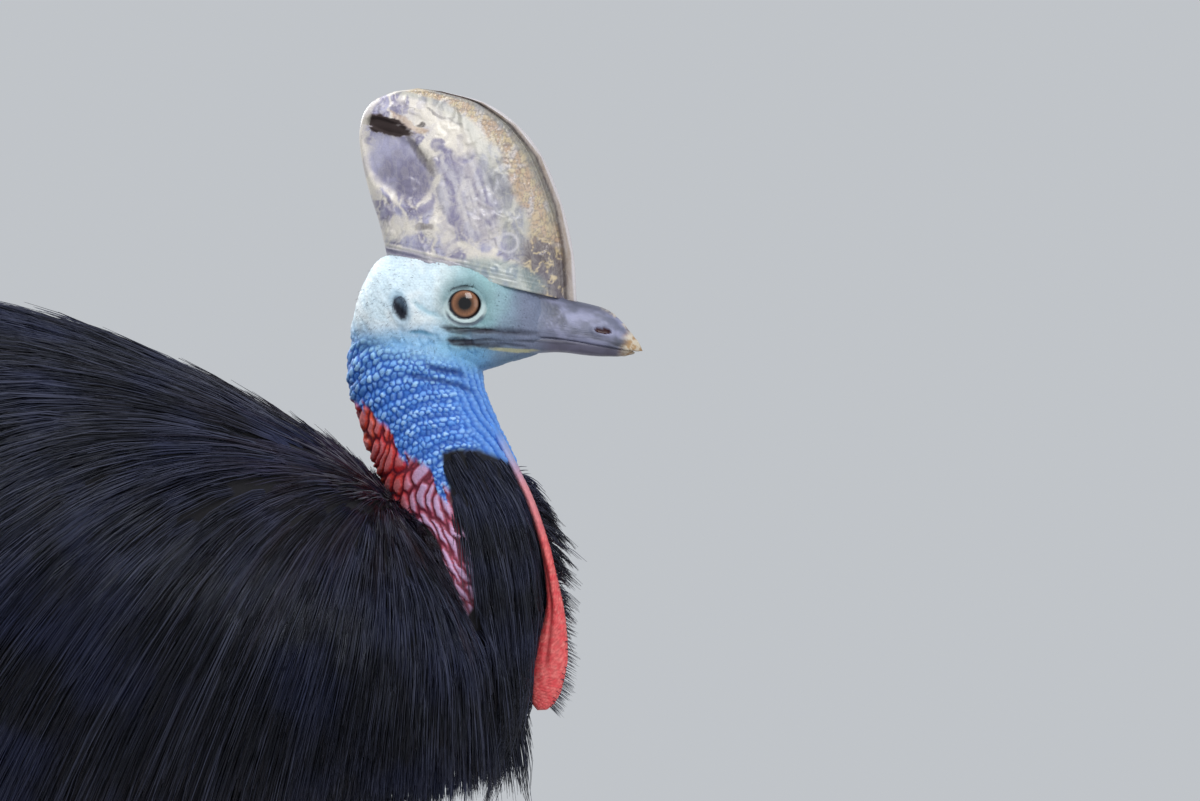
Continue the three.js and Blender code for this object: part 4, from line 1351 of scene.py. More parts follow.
@dataclass
class Plumage:
    """The coat: loose feathers of hair-like barbs over the trunk, breast, foreneck and thighs."""

    spacing: float = 17.9
    barbs: int = 15
    fine_barbs: int = 10
    barb_radius: float = 0.56
    fine_radius: float = 0.5
    seed: int = 4

    def trunk_roots(self, random: np.random.Generator) -> tuple[Array, Array]:
        """Scatter roots over the trunk, closer together towards the neck.

        Args:
            random: The source of the scatter.

        Returns:
            The places along X, and the angles round the trunk from its top.
        """
        roots = []
        x = TRUNK[0][0] + 4.0
        while x < TRUNK[-1][0] - 2:
            gap = self.spacing * float(np.interp(x, [150, 255, 295], [1.0, 0.8, 0.58]))
            top, _, bottom, half = read_table(TRUNK, np.array([x]))[0]
            tall = (top - bottom) / 2
            girth = math.pi * (1.5 * (half + tall) - math.sqrt(half * tall))
            count = max(5, int(girth / gap))
            angle = 2 * math.pi * (np.arange(count) + random.uniform(-0.4, 0.4, count)) / count
            roots.append(np.stack([x + random.uniform(-0.5, 0.5, count) * gap, angle], axis=1))
            x += gap * 0.92
        places, angle = np.concatenate(roots).T
        return places, (angle + math.pi) % (2 * math.pi) - math.pi

    def trunk_guides(self) -> Guides:
        """Feathers of the back, flanks, belly and tail.

        Returns:
            The guides.
        """
        random = np.random.default_rng(self.seed)
        places, angle = self.trunk_roots(random)
        roots = trunk_places(places, angle)
        low = np.abs(angle) / math.pi
        clear = random.uniform(0, 1, len(roots)) < np.where(low > 0.8, 0.5, 1)
        clear &= NECK_TUBE.locate(roots)[0] > 1
        for field in DRUMSTICKS.values():
            clear &= field.locate(roots)[0] > -4
        roots, angle, low, places = roots[clear], angle[clear], low[clear], places[clear]
        count = len(roots)
        collar = smoothstep(places, 190, 330)
        rump = fade(places, -400, -250)
        knots = (0, 0.16, 0.32, 0.5, 0.64, 0.82, 1.0)
        length = np.interp(low, knots, (135, 160, 185, 178, 112, 66, 48))
        rise = np.interp(low, knots, (12, 15, 24, 30, 27, 19, 13))
        length *= (1 - 0.5 * collar) * (1 + 0.1 * rump) * random.uniform(0.82, 1.12, count)
        rise *= (1 - 0.45 * collar) * (1 + 0.2 * rump) * random.uniform(0.3, 1.05, count)
        length *= 1 - 0.35 * smoothstep(places, 285, 345) * (low < 0.42)
        lines, normals = lay_lines(roots, body_distance, coat_lie, length, rise)
        uv = np.stack([0.02 + 0.6 * (places + 430) / 850, 0.5 + 0.47 * angle / math.pi], axis=1)
        from_nape = np.hypot(roots[:, 0] - 300, (roots[:, 2] - 832) * 1.2)
        rust = fade(from_nape, 20, 85) * random.uniform(0.0, 0.3, count)
        # Pale barbs along the top of the back towards the nape: partly the bird's pale hairs there, partly
        # painted rim light.
        ridge = smoothstep(places, 200, 310) * (low < 0.12) * (random.uniform(0, 1, count) < 0.4)
        spread = (11.0 + 1.8 * smoothstep(places, 110, 190)) * (1 - 0.32 * collar)
        return Guides(lines, normals, spread, uv, rust, ridge * 0.3)

    def collar_guides(self) -> Guides:
        """Short dense feathers at the foot of the neck, behind its bare sides.

        Returns:
            The guides.
        """
        random = np.random.default_rng(self.seed + 2)
        k, degrees = np.array([(k, a) for k in range(40, 104, 2) for a in np.arange(20, 340, 6.0)]).T
        a = np.radians(degrees + random.uniform(-3, 3, len(k)))
        roots = NECK_TUBE.places(k.astype(int), a)
        roots[:, 2] += random.uniform(-2, 2, len(roots))
        behind = roots[:, 0] < read_table(BARE_EDGES, roots[:, 2])[:, 0] + 1.5
        kept = behind & (trunk_distance(roots) > -6) & (roots[:, 2] > 735)
        round_foot, turns = self.junction(random)
        roots, a = np.concatenate([roots[kept], round_foot]), np.concatenate([a[kept], turns])
        count = len(roots)
        from_rim = smoothstep(NECK_TUBE.locate(roots)[0], 2, 16)
        length = 17 + 30 * fade(roots[:, 2], 760, 825) + 26 * from_rim
        length = length * random.uniform(0.7, 1.2, count)
        rise = random.uniform(2.0, 9.0, count)
        lines, normals = lay_lines(roots, body_distance, coat_lie, length, rise, 3)
        uv = np.stack([0.7 + 0.1 * (roots[:, 2] - 735) / 100, 0.5 + 0.46 * (a - math.pi) / math.pi], axis=1)
        nape = (roots[:, 2] > 808) & (random.uniform(0, 1, count) < 0.3)
        rust = random.uniform(0, 0.4, count)
        return Guides(lines, normals, 4.5, uv, rust, nape * 0.7)

    @staticmethod
    def junction(random: np.random.Generator) -> tuple[Array, Array]:
        """Roots on the trunk along the line where the neck rises from it, and their angles.

        Args:
            random: The source of the scatter.

        Returns:
            The roots, and their angles from the back of the neck.
        """
        x, angle = np.array([(x, a) for x in np.arange(276, 392, 4.0) for a in np.arange(-150, 151, 3.0)]).T
        x, angle = x + random.uniform(-2, 2, len(x)), np.radians(angle + random.uniform(-1.5, 1.5, len(x)))
        roots = trunk_places(x, angle)
        gap = NECK_TUBE.locate(roots)[0]
        back = np.where(roots[:, 2] > 806, 330, read_table(BARE_EDGES, roots[:, 2])[:, 0])
        reach = 11 + 22 * smoothstep(roots[:, 2], 780, 805)
        kept = (gap > -4) & (gap < reach) & (x < back + 1) & (roots[:, 2] > 700)
        return roots[kept], angle[kept] + math.pi

    def throat_guides(self) -> Guides:
        """Feathers of the foreneck and breast, in front of the bare sides of the neck.

        Returns:
            The guides.
        """
        random = np.random.default_rng(self.seed + 1)
        low = [(k, angle) for k in range(6, 96, 3) for angle in np.arange(-174, 180, 9.5)]
        high = [(k, angle) for k in range(96, 116, 2) for angle in np.arange(-110, 111, 6)]
        fringe = [(k, angle) for k in range(26, 104, 2) for angle in (-2.4, -0.8, 0.8, 2.4)]
        k, angle = np.array(low + high + fringe).T
        a = np.radians(angle + random.uniform(-4, 4, len(angle)) * (np.abs(angle) > 3))
        roots = NECK_TUBE.places(k.astype(int), a)
        roots[:, 2] += random.uniform(-3, 3, len(roots))
        covered = (bare_skin(roots[:, 0], roots[:, 2]) < 0.85) & (trunk_distance(roots) > -3)
        covered &= roots[:, 0] > read_table(BARE_EDGES, roots[:, 2])[:, 0] + 1.5
        roots, a = roots[covered], a[covered]
        down = fade(roots[:, 2], 730, 860)
        length = (20 + 94 * down**0.7) * random.uniform(0.8, 1.15, len(roots))
        rise = (3 + 20 * down) * random.uniform(0.3, 1.1, len(roots))
        middle = np.abs(a) < 0.05

        def lie(points: Array) -> Array:
            """Down, and forward down the foreneck."""
            forward = 0.08 + 0.45 * smoothstep(points[:, 2], 770, 850)
            return lengthwise(forward, -np.ones(len(points)))

        lines, normals = lay_lines(roots, body_distance, lie, length, rise)
        self.keep_behind_wattles(lines)
        lines[middle] = self.fringe_lines(roots[middle], random)
        uv = np.stack([0.64 + 0.14 * (roots[:, 2] - 640) / 230, 0.5 + 0.46 * a / math.pi], axis=1)
        return Guides(lines, normals, np.where(middle, 1.6, 6.0), uv)

    @staticmethod
    def fringe_lines(roots: Array, random: np.random.Generator) -> Array:
        """The hairs between the wattles, which stand forward off the foreneck and droop a little.

        Args:
            roots: Where the hairs leave the skin.
            random: The source of the scatter.

        Returns:
            Their lines.
        """
        t = np.linspace(0, 1, 5)[None, :, None]
        count = len(roots)
        top = smoothstep(roots[:, 2], 800, 850)
        length = (random.uniform(24, 42, count) * (1 - 0.35 * top))[:, None, None]
        aside = random.uniform(-0.05, 0.05, count)
        down = random.uniform(-0.5, -0.1, count) - 0.3 * top
        out = unit(np.stack([np.full(count, 0.94), aside, down], axis=1))
        droop = np.array([-0.1, 0.0, -0.34])
        return roots[:, None] + length * (out[:, None] * t + droop * t**2)

    @staticmethod
    def keep_behind_wattles(lines: Array) -> None:
        """Hold the feathers beside the wattles back behind them; only those between them stick out.

        Args:
            lines: The feathers' lines, which are changed in place.
        """
        below = [(585, 398), (612, 411), (640, 421)]
        rows = np.array(below + [(z, x - deep) for x, _, z, _, deep in WATTLE[::-1]])
        uneven = 9 * np.abs(np.sin(1.7 * lines[:, :1, 1])) * fade(lines[..., 2], 610, 670)
        edge = np.interp(lines[..., 2], rows[:, 0], rows[:, 1]) - 1.5 - uneven
        beside = np.abs(lines[:, :1, 1]) > 2.5
        lines[..., 0] = np.where(beside, np.minimum(lines[..., 0], edge), lines[..., 0])

    def thigh_guides(self, side: Side) -> Guides:
        """Short feathers that lie close on a drumstick.

        Args:
            side: Which leg.

        Returns:
            The guides.
        """
        random = np.random.default_rng(self.seed + 5 + side.value)
        field = DRUMSTICKS[side]
        k, n = np.array([(k, n) for k in range(14, 59, 3) for n in range(24)]).T
        a = 2 * math.pi * (n + random.uniform(-0.4, 0.4, len(n))) / 24
        roots = field.places(k, a)
        outside = trunk_distance(roots) > 0
        roots, a, low = roots[outside], a[outside], k[outside] / 60
        length = (92 - 50 * low) * random.uniform(0.85, 1.12, len(roots))
        rise = (12 - 6 * low) * random.uniform(0.4, 1.0, len(roots))

        def lie(points: Array) -> Array:
            """Down the leg and a little back."""
            return lengthwise(np.full(len(points), -0.38), -np.ones(len(points)))

        lines, normals = lay_lines(roots, lambda p: field.locate(p)[0], lie, length, rise, 3)
        high = 0.52 if side is Side.LEFT else 0.02
        uv = np.stack([0.81 + 0.17 * low, high + 0.45 * a / (2 * math.pi)], axis=1)
        return Guides(lines, normals, 7.0, uv)

    def zones(self) -> dict[str, Guides]:
        """All the guides, a stretch of the bird to each name.

        Returns:
            The guides by the name of the piece that they become.
        """
        trunk = self.trunk_guides()
        x, y = trunk.lines[:, 0, 0], trunk.lines[:, 0, 1]
        zones = {}
        for side in Side:
            for name, (low, high) in TRUNK_ZONES.items():
                inside = (y * side.value > 0) & (x >= low) & (x < high)
                zones[f"plumage_{name}_{side.word}"] = trunk.pick(inside)
            zones[f"plumage_thigh_{side.word}"] = self.thigh_guides(side)
        zones["plumage_breast"] = self.throat_guides()
        zones["plumage_neck_foot"] = self.collar_guides()
        return zones

    def build(self, material: Material) -> None:
        """Sweep all the feathers."""
        tree = feather_tree()
        for number, (name, guides) in enumerate(self.zones().items()):
            fine = name.startswith(("plumage_thigh", "plumage_breast", "plumage_neck"))
            item = guides.build(name)
            settings = {
                "Barbs": self.fine_barbs if fine else self.barbs,
                "Barb radius": (self.fine_radius if fine else self.barb_radius) * MM,
                "Wave": 0.0045,
                "Seed": self.seed + number,
                "Material": material,
            }
            grow(item, tree, settings)
            dress(item, material)


# Skin


@dataclass
class Foot:
    """One foot's toes and claws."""

    side: Side
    # Turn, length and start of each toe, its half width at root and tip, its height, and its pads.
    toes = {
        "inner": (-27.0, 84.0, 17.0, 17.0, 12.5, 15.0, 2),
        "middle": (2.0, 148.0, 15.0, 19.0, 13.0, 17.0, 4),
        "outer": (31.0, 104.0, 17.0, 16.0, 11.5, 14.0, 3),
    }
    # Length, half width and height of each claw, and how far its tip drops.
    claws = {
        "inner": (104.0, 9.0, 10.0, 7.0),
        "middle": (44.0, 8.5, 8.5, 9.0),
        "outer": (36.0, 7.5, 7.5, 8.0),
    }

    def toe_stations(self, name: str, count: int = 60) -> Array:
        """Stations along one toe, swollen at its pads.

        Args:
            name: Which toe.
            count: How many stations.

        Returns:
            X, Y, Z, half width and half height at each station.
        """
        turn, length, start, root, tip, tall, pads = self.toes[name]
        angle = math.radians(turn) * self.side.value
        t = np.linspace(0, 1, count)
        s = start * 0.6 + length * t
        pad = 1 + 0.09 * np.cos(2 * math.pi * pads * t + math.pi)
        half = (root + (tip - root) * t) * pad
        deep = tall * (1 - 0.28 * t) * pad
        x = 2 + foot_x(self.side) + s * math.cos(angle)
        y = self.side.value * STANCE_HALF + s * math.sin(angle)
        return np.stack([x, y, deep - 1.4, half, deep], axis=1)

    def claw(self, name: str) -> tuple:
        """One claw, curved down to its tip.

        Args:
            name: Which toe's claw.

        Returns:
            The vertices and the faces.
        """
        length, half, tall, drop = self.claws[name]
        angle = math.radians(self.toes[name][0]) * self.side.value
        end = self.toe_stations(name)[-1]
        t = np.linspace(0, 1, 26)
        s = length * t - 6
        thin = np.sqrt(1 - t) * 0.9 + 0.1
        z = np.maximum(end[2] + 1.5 - drop * t**1.6, tall * thin)
        x = end[0] + s * math.cos(angle)
        y = end[1] + s * math.sin(angle)
        return tube(np.stack([x, y, z, half * thin, tall * thin], axis=1), 18, 2, 3)


@dataclass
class Skin:
    """One closed skin over head, neck, trunk and legs, with its folds, granules, lids and scales."""

    head_voxel: float = 1.1
    leg_voxel: float = 2.4
    kept_share: float = 0.65

    def head_and_neck(self) -> Item:
        """Skull, neck and lids as one even skin, with the sockets and ear openings cut.

        Returns:
            The skin.
        """
        skull = loft(egg_rings(SKULL, 56, 56), (290, 0, 944))
        neck = tube(NECK_TUBE.stations[24::2], 56, 4, 4)
        parts = [skull, neck, *(self.lid(side) for side in Side)]
        item = remesh(make_object("skin", parts), self.head_voxel)
        for side in Side:
            eye, ear = mirrored((EYE_AT, EAR_AT), side)
            socket = ball(eye, (EYE_ACROSS - 0.2, EYE_BULGE - 0.1, EYE_ACROSS - 0.2))
            join(item, make_object("socket", [socket]), "DIFFERENCE")
            join(item, make_object("ear", [ball(ear, (4.2, 6, 8.0), 14, 20)]), "DIFFERENCE")
        return item

    @staticmethod
    def lid(side: Side) -> tuple:
        """The rim of the lids round one eye, broad below and narrow above.

        Args:
            side: Which eye.

        Returns:
            The vertices and the faces.
        """
        a = 2 * math.pi * np.arange(80) / 80
        b = 2 * math.pi * np.arange(18) / 18
        middle_x, middle_z = EYE_AT[0] + 0.4, EYE_AT[2] - 0.2
        _, turn, margin = eye_polar(middle_x + 10 * np.cos(a), middle_z + 10 * np.sin(a))
        low = smoothstep(-np.sin(turn), -0.35, 0.5)
        thick = 1.5 + 1.2 * low
        out = (margin + 0.95 * thick)[:, None] + thick[:, None] * np.cos(b)
        x = middle_x + out * np.cos(a)[:, None]
        z = middle_z + out * np.sin(a)[:, None]
        y = side.value * ((35.2 - 0.7 * low)[:, None] + thick[:, None] * np.sin(b))
        vertices = np.stack([x, y, z], axis=2).reshape(-1, 3)
        quads = (ring_faces(81, 18) % (80 * 18)).tolist()
        if signed_volume(vertices, quads) < 0:
            quads = [quad[::-1] for quad in quads]
        return vertices, quads

    def leg(self, side: Side) -> Item:
        """Lower leg and toes as one even skin."""
        foot = Foot(side)
        parts = [tube(LOWER_LEGS[side].stations[::2], 36, 8, 5)]
        for name in Foot.toes:
            parts.append(tube(foot.toe_stations(name), 30, 6, 4))
        return remesh(make_object("leg", parts), self.leg_voxel)

    def build(self, material: Material) -> Item:
        """Join the skin, press its relief into it and paint it.

        Args:
            material: The finish to dress it in.

        Returns:
            The piece.
        """
        item = self.head_and_neck()
        join(item, make_object("trunk", [loft(egg_rings(TRUNK, 60, 48), (-430, 0, 790), (416, 0, 668))]))
        join(item, make_object("breast", [tube(NECK_TUBE.stations[:32:2], 48, 4, 1)]))
        for side in Side:
            join(item, make_object("drumstick", [tube(DRUMSTICKS[side].stations[::3], 32, 14, 0)]))
            join(item, self.leg(side))
            join(item, make_object("stub", [tube(refine(mirrored(WING_STUB, side), 24), 20, 5, 5)]))
        points, normals = points_of(item), normals_of(item)
        relief, colours = SkinRelief(points).work_out()
        moved = points + normals * relief[:, None]
        moved[:, 2] = np.maximum(moved[:, 2], 0)
        move_points(item, moved)
        paint(item, colours)
        thin = item.modifiers.new("thin", "DECIMATE")
        thin.ratio = self.kept_share
        settle(item)
        item.data.shade_smooth()
        words = ["head", "neck_upper", "neck_lower_breast", "torso", "tail"]
        for side in Side:
            words += [f"{part}_{side.word}" for part in ("thigh", "shank", "tarsus")]
            words += [f"toe_{name}_{side.word}" for name in Foot.toes]
        dress(item, material, words)
        return item


@dataclass(frozen=True)
class Crease:
    """A crease or dark line of the face, drawn in the side view."""

    line: Rows
    half: float
    depth: float
    colour: Colour
    strength: float = 0.8

    def weight(self, x: Array, z: Array) -> Array:
        """How much each point lies in the crease, which tapers and wavers a little."""
        smooth = refine(self.line, 5 * len(self.line))
        wander = self.half * (0.55 + 0.9 * cloud(x / 6, z / 6, 21))
        ends = [np.hypot(x - smooth[end, 0], z - smooth[end, 1]) for end in (0, -1)]
        fading = smoothstep(np.minimum(*ends), 0, 3.5 * self.half)
        return fading * fade(line_distance(x, z, smooth), 0.15 * wander, wander)


# Face creases, named for where they lie: x and z of their bends.
LASH_LINE: Rows = ((363.8, 972.2), (367.3, 974.9), (371.9, 976.4), (377.1, 976.9), (383.0, 976.3))
UNDER_EYE: Rows = (
    (361.8, 961.2),
    (363.6, 955.9),
    (367.3, 952),
    (372.4, 949.6),
    (377.7, 949),
    (384.1, 950.2),
    (389, 953.6),
    (392.8, 958.2),
)
EYE_TO_EAR: Rows = ((333.4, 970.5), (342.8, 962.3), (349.2, 958.2), (354.4, 956.5), (361.4, 953))
CHEEK: Rows = ((330, 944.9), (335.8, 943.7), (343.9, 943.7), (349.8, 942), (357, 940.2))
# Dark folds at the corner of the mouth: middle, half length and width, turn.
GAPE_WEDGES = (
    ((368.5, 946), (11, 3.4), -11),
    ((384, 944.8), (15, 1.5), -3),
    ((372.5, 936.8), (10.5, 4.7), -10),
    ((389, 934.4), (15, 1.7), 0),
)
UPPER_LIP: Rows = ((370, 944.8), (392, 944.2), (404, 943.8), (420, 943))
LOWER_LIP: Rows = ((372, 935.2), (388, 935.8), (404, 935.4), (424, 933.6))
JAW_FOLD: Rows = ((342, 923), (350, 917), (360, 914.6), (370, 913), (380, 907))
THROAT_FOLD: Rows = ((330, 912), (346, 908.5), (360, 906), (374, 902), (386, 895))
INK: Colour = (0.012, 0.013, 0.022)
DARK_SKIN: Colour = (0.010, 0.0095, 0.012)
FOLD_SHADE_BLUE: Colour = (0.008, 0.05, 0.24)
# The eye-to-ear, cheek, jaw and throat creases are darkened as painted shade in their folds; the lip,
# under-eye and lash lines are dark lines of the skin itself.
FACE_CREASES = (
    Crease(EYE_TO_EAR, 3.2, 0.7, (0.20, 0.44, 0.56), 0.5),
    Crease(CHEEK, 2.6, 0.9, (0.03, 0.20, 0.36), 0.75),
    Crease(JAW_FOLD, 3.6, 2.4, FOLD_SHADE_BLUE, 0.95),
    Crease(THROAT_FOLD, 3.2, 2.0, FOLD_SHADE_BLUE, 0.85),
    Crease(UPPER_LIP, 1.3, 0.5, (0.03, 0.035, 0.06), 0.7),
    Crease(LOWER_LIP, 1.5, 0.5, (0.035, 0.04, 0.07), 0.6),
    Crease(UNDER_EYE, 1.9, 0.7, (0.05, 0.07, 0.12), 0.8),
    Crease(LASH_LINE, 1.5, 0.4, (0.03, 0.05, 0.06), 0.75),
)
# Edges of the bare skin where the plumage starts, at heights down the neck: z, then the back and front edge.
BARE_EDGES: Rows = (
    (700, 371, 372),
    (716, 366, 373),
    (726, 366, 377),
    (737, 368, 383),
    (752, 367.4, 386),
    (763, 364, 386.5),
    (778, 359.3, 384),
    (794, 351, 375),
    (805, 333, 370),
    (812, 300, 367),
    (829, 262, 364),
    (852, 240, 360),
    (858, 240, 374),
    (862, 240, 500),
)


def bare_skin(x: Array, z: Array) -> Array:
    """How much a point of the neck lies on bare skin, not among feathers.

    Args:
        x: The points' X.
        z: The points' Z.

    Returns:
        A weight from 0 among feathers to 1 on bare skin.
    """
    back, front = read_table(BARE_EDGES, z).T
    ragged = 3.2 * (cloud(x / 9, z / 14, 31) - 0.5)
    inside = smoothstep(x + ragged - back, -1.6, 1.6) * fade(x + ragged - front, -1.6, 1.6)
    arch = 855 - 0.011 * (x - 376) ** 2
    above = smoothstep(z + ragged - arch, -2, 3)
    return np.maximum(inside, above * (x > 340)) * smoothstep(z, 708, 722)


@dataclass
class SkinRelief:
    """Works out the relief and the colour of the skin at points."""

    points: Array

    def work_out(self) -> tuple[Array, Array]:
        """The height over the plain skin in millimetres, and the colour, at each point."""
        p = self.points
        relief, colours = np.zeros(len(p)), plain(DARK_SKIN, p)
        upper = (p[:, 0] > 262) & (p[:, 2] > 690)
        relief[upper], colours[upper] = self.head_neck(p[upper])
        lower = p[:, 2] < 476
        relief[lower], colours[lower] = self.legs(p[lower])
        return relief, colours

    def head_neck(self, p: Array) -> tuple[Array, Array]:
        """Granules and folds of the neck, lobes of its sides and nape, and the face.

        Args:
            p: Points of the head and neck.

        Returns:
            The relief and the colour at each point.
        """
        gap, along, angle = NECK_TUBE.locate(p)
        x, z = p[:, 0], p[:, 2]
        g = (math.pi - np.abs(angle)) / math.pi
        on_neck = fade(z + 0.27 * (x - 285) + 10 * (cloud(x / 16, z / 16, 3) - 0.5), 930, 950)
        relief, colour = self.granules(g, NECK_HALF_GIRTH * g, along, x, z)
        lobe_relief, lobe_colour, lobed = self.lobes(x, z)
        relief = relief * (1 - lobed) + lobe_relief * lobed
        colour = blend(colour, lobe_colour, lobed)
        face_relief, face_colour = self.face(p)
        relief = relief * on_neck + face_relief * (1 - on_neck)
        colour = blend(face_colour, colour, on_neck)
        for crease in FACE_CREASES:
            weight = crease.weight(x, z) * (np.abs(p[:, 1]) > 11)
            relief = relief - crease.depth * weight
            colour = blend(colour, crease.colour, crease.strength * weight)
        bare = bare_skin(x, z) * (1 - smoothstep(gap, 2.5, 6) * fade(z, 880, 900))
        return relief * bare, blend(plain(DARK_SKIN, p), colour, bare)

    @staticmethod
    def granules(g: Array, girth: Array, along: Array, x: Array, z: Array) -> tuple[Array, Array]:
        """Blue granules in wavy rows that arch over the side of the neck, and long folds down its front.

        Args:
            g: Place round the neck, from 0 at its back to 1 at its front.
            girth: The same in millimetres.
            along: Length down the neck's middle line.
            x: The points' X.
            z: The points' Z.

        Returns:
            The relief and the colour at each point.
        """
        sway = cloud(girth / 30, along / 30, 11)
        rows = along - 17 * np.sin(math.pi * g) + 7 * (sway - 0.5)
        places = np.linspace(0, 1, 60)
        widths = 5.4 + 4.0 * np.exp(-places / 0.12)
        cells = np.concatenate([[0], np.cumsum(NECK_HALF_GIRTH * np.diff(places) / widths[1:])])
        shake = cloud(girth / 9, along / 9, 13) - 0.5
        granule, own = cell_pattern(np.interp(g, places, cells) + shake, rows / 3.9 + 0.7 * shake, 1, 0.15)
        fold_shift = 0.35 * (cloud(girth / 18, along / 18, 12) - 0.5)
        fold = 0.5 + 0.5 * np.cos(2 * math.pi * (rows / 11.5 + fold_shift))
        front = smoothstep(g, 0.62, 0.8)
        long_fold = 0.5 + 0.5 * np.cos(2 * math.pi * (girth + 0.12 * along + 11 * sway) / 6.5)
        granule = granule * (1 - 0.55 * front)
        pleat = fold * (1 - front) + long_fold * front
        lit_tops = smoothstep(granule, 0.3, 0.85) * (0.2 + 0.8 * own)
        shaded_furrow = fade(granule, 0.05, 0.5) * 0.85 * (1 - 0.5 * front)
        pale = smoothstep(z + 0.27 * (x - 285) + 12 * (own - 0.5), 905, 945)
        # Painted highlights on the granule tops, strongest on the fold crests, and painted shade in the
        # furrows and fold troughs; the paler crests of the long front folds are painted highlight too.
        colour = layer(
            plain((0.055, 0.25, 0.78), x),
            ((0.46, 0.72, 1.0), 0.9 * lit_tops * (0.5 + 0.5 * pleat)),
            ((0.006, 0.055, 0.36), shaded_furrow),
            ((0.010, 0.085, 0.42), 0.65 * fade(pleat, 0.0, 0.5)),
            ((0.32, 0.62, 0.86), 0.6 * pale * granule),
            ((0.30, 0.50, 0.82), 0.35 * front * pleat),
        )
        return granule * 1.7 * (0.55 + 0.45 * own) + pleat * 1.7, colour

    @staticmethod
    def lobes(x: Array, z: Array) -> tuple[Array, Array, Array]:
        """Hanging lobes: red and orange on the nape, pink down the side, with painted highlights on their
        tops and painted shade between them.

        Args:
            x: The points' X.
            z: The points' Z.

        Returns:
            The relief, the colour, and how much of each point is lobed.
        """
        columns = cell_noise(np.floor((x + 0.3 * z) / 5.2), np.zeros(len(x)), 17)
        edge = (x - 298) + (z - 885) + 17 * (columns - 0.5)
        lobed = fade(edge, -2.5, 2.5)
        slant = 0.62 * fade(z, 800, 850)
        bow = 2.5 * (cloud(x / 22, z / 22, 16) - 0.5)
        across = (x + slant * (z - 800)) / 6.2 + bow
        lobe, own = cell_pattern(across, z / 20.0 + 0.5 * bow, 2, 0.1)
        grain, _ = cell_pattern(x / 1.9, z / 2.6, 4)
        # Painted highlights on the lobe tops: pinkish on the red, lilac on the pink.
        red = layer(
            plain((0.66, 0.028, 0.035), x),
            ((0.86, 0.15, 0.06), own**2 * 0.8),
            ((0.86, 0.36, 0.40), smoothstep(lobe, 0.7, 1) * 0.5),
        )
        pink = blend(plain((0.46, 0.08, 0.14), x), (0.60, 0.38, 0.60), smoothstep(lobe, 0.35, 0.9))
        colour = blend(red, pink, smoothstep(x + 7 * (own - 0.5), 326, 344))
        # Painted shade between the fine grains and in the creases between the lobes; the strip also grows
        # darker towards the bottom.
        colour = layer(
            colour,
            (colour * 0.7, (1 - grain) * 0.5),
            ((0.13, 0.012, 0.03), fade(lobe, 0.02, 0.36) * 0.9),
            ((0.10, 0.03, 0.05), fade(z, 722, 770) * 0.6),
        )
        return lobe * 2.3 + grain * 0.3, colour, lobed

    def face(self, p: Array) -> tuple[Array, Array]:
        """Pale crown, turquoise brow, slate lores and lips, pale lids and the ear opening.

        Args:
            p: Points of the head or the bill.

        Returns:
            The relief and the colour at each point.
        """
        x, side, z = p[:, 0], np.abs(p[:, 1]), p[:, 2]
        grain, own = cell_pattern(x / 1.9 + side / 5, z / 1.7 + side / 6, 5)
        soft = cloud(x / 12, z / 12 + side / 14, 8)
        stray = soft - 0.5
        wrinkle = cloud((x + 0.6 * z) / 4.5, (z - 0.3 * x) / 13, 9)
        low = fade(z + 6 * stray, 934, 956)
        lores = smoothstep(x - 0.25 * (z - 950) + 12 * stray, 384, 410)
        lips = np.exp(-(((z - 939.5) / 7.5) ** 4)) * smoothstep(x, 366, 384)
        jaw = fade(z - 0.06 * (x - 380), 928, 935) * smoothstep(x, 350, 376)
        chin = fade(side, 10, 20) * fade(z, 925, 934)
        streaks = lip_streaks(x, z)
        vein = np.abs(cloud((x + 0.5 * z) / 11, (z - 0.4 * x) / 17, 22, 3) - 0.5)
        shaded_furrow = fade(vein, 0.0, 0.07) * (1 - lores) * (0.25 + 0.75 * low)
        relief = grain * 0.35 + 0.9 * wrinkle + 1.3 * soft - 0.7 * shaded_furrow + lips * 0.8 * streaks
        colour = layer(
            plain((0.66, 0.80, 0.88), p),
            ((0.82, 0.88, 0.90), smoothstep(soft, 0.35, 0.65) * 0.7),
            ((0.14, 0.44, 0.80), low * (0.55 + 0.4 * soft)),
            ((0.28, 0.52, 0.54), smoothstep(x + 8 * stray, 344, 392) * 0.85),
            ((0.19, 0.26, 0.36), lores * 0.9),
            ((0.13, 0.16, 0.25), lips * 0.85),
            ((0.17, 0.195, 0.29), smoothstep(x + 6 * stray, 408, 424) * 0.9),
            ((0.15, 0.40, 0.74), jaw * fade(x, 384, 408) * 0.7),
            ((0.07, 0.16, 0.26), chin * 0.7),
            ((0.03, 0.035, 0.06), lips * 0.75 * (1 - streaks)),
        )
        for at, halves, turn in GAPE_WEDGES:
            wedge = spot(x + 5 * stray, z + 1.5 * (streaks - 0.5), at, halves, turn)
            colour = blend(colour, (0.026, 0.02, 0.03), wedge * (0.97 - 0.3 * streaks))
            relief = relief - 1.2 * wedge * (1 - streaks)
        # Painted shade in the pressed cracks and between the grains.
        colour = blend(colour, colour * np.array([0.45, 0.62, 0.75]), 0.55 * shaded_furrow)
        colour = blend(colour, colour * 0.7, (1 - grain) * (0.3 + 0.5 * own))
        rictal = spot(x, z + 0.05 * (x - 414), (413, 930.6), (19, 1.5))
        colour = blend(colour, (0.50, 0.48, 0.27), rictal * 0.8)
        relief, colour = self.round_eye(x, side, z, relief, colour)
        return self.round_ear(x, side, z, relief, colour)

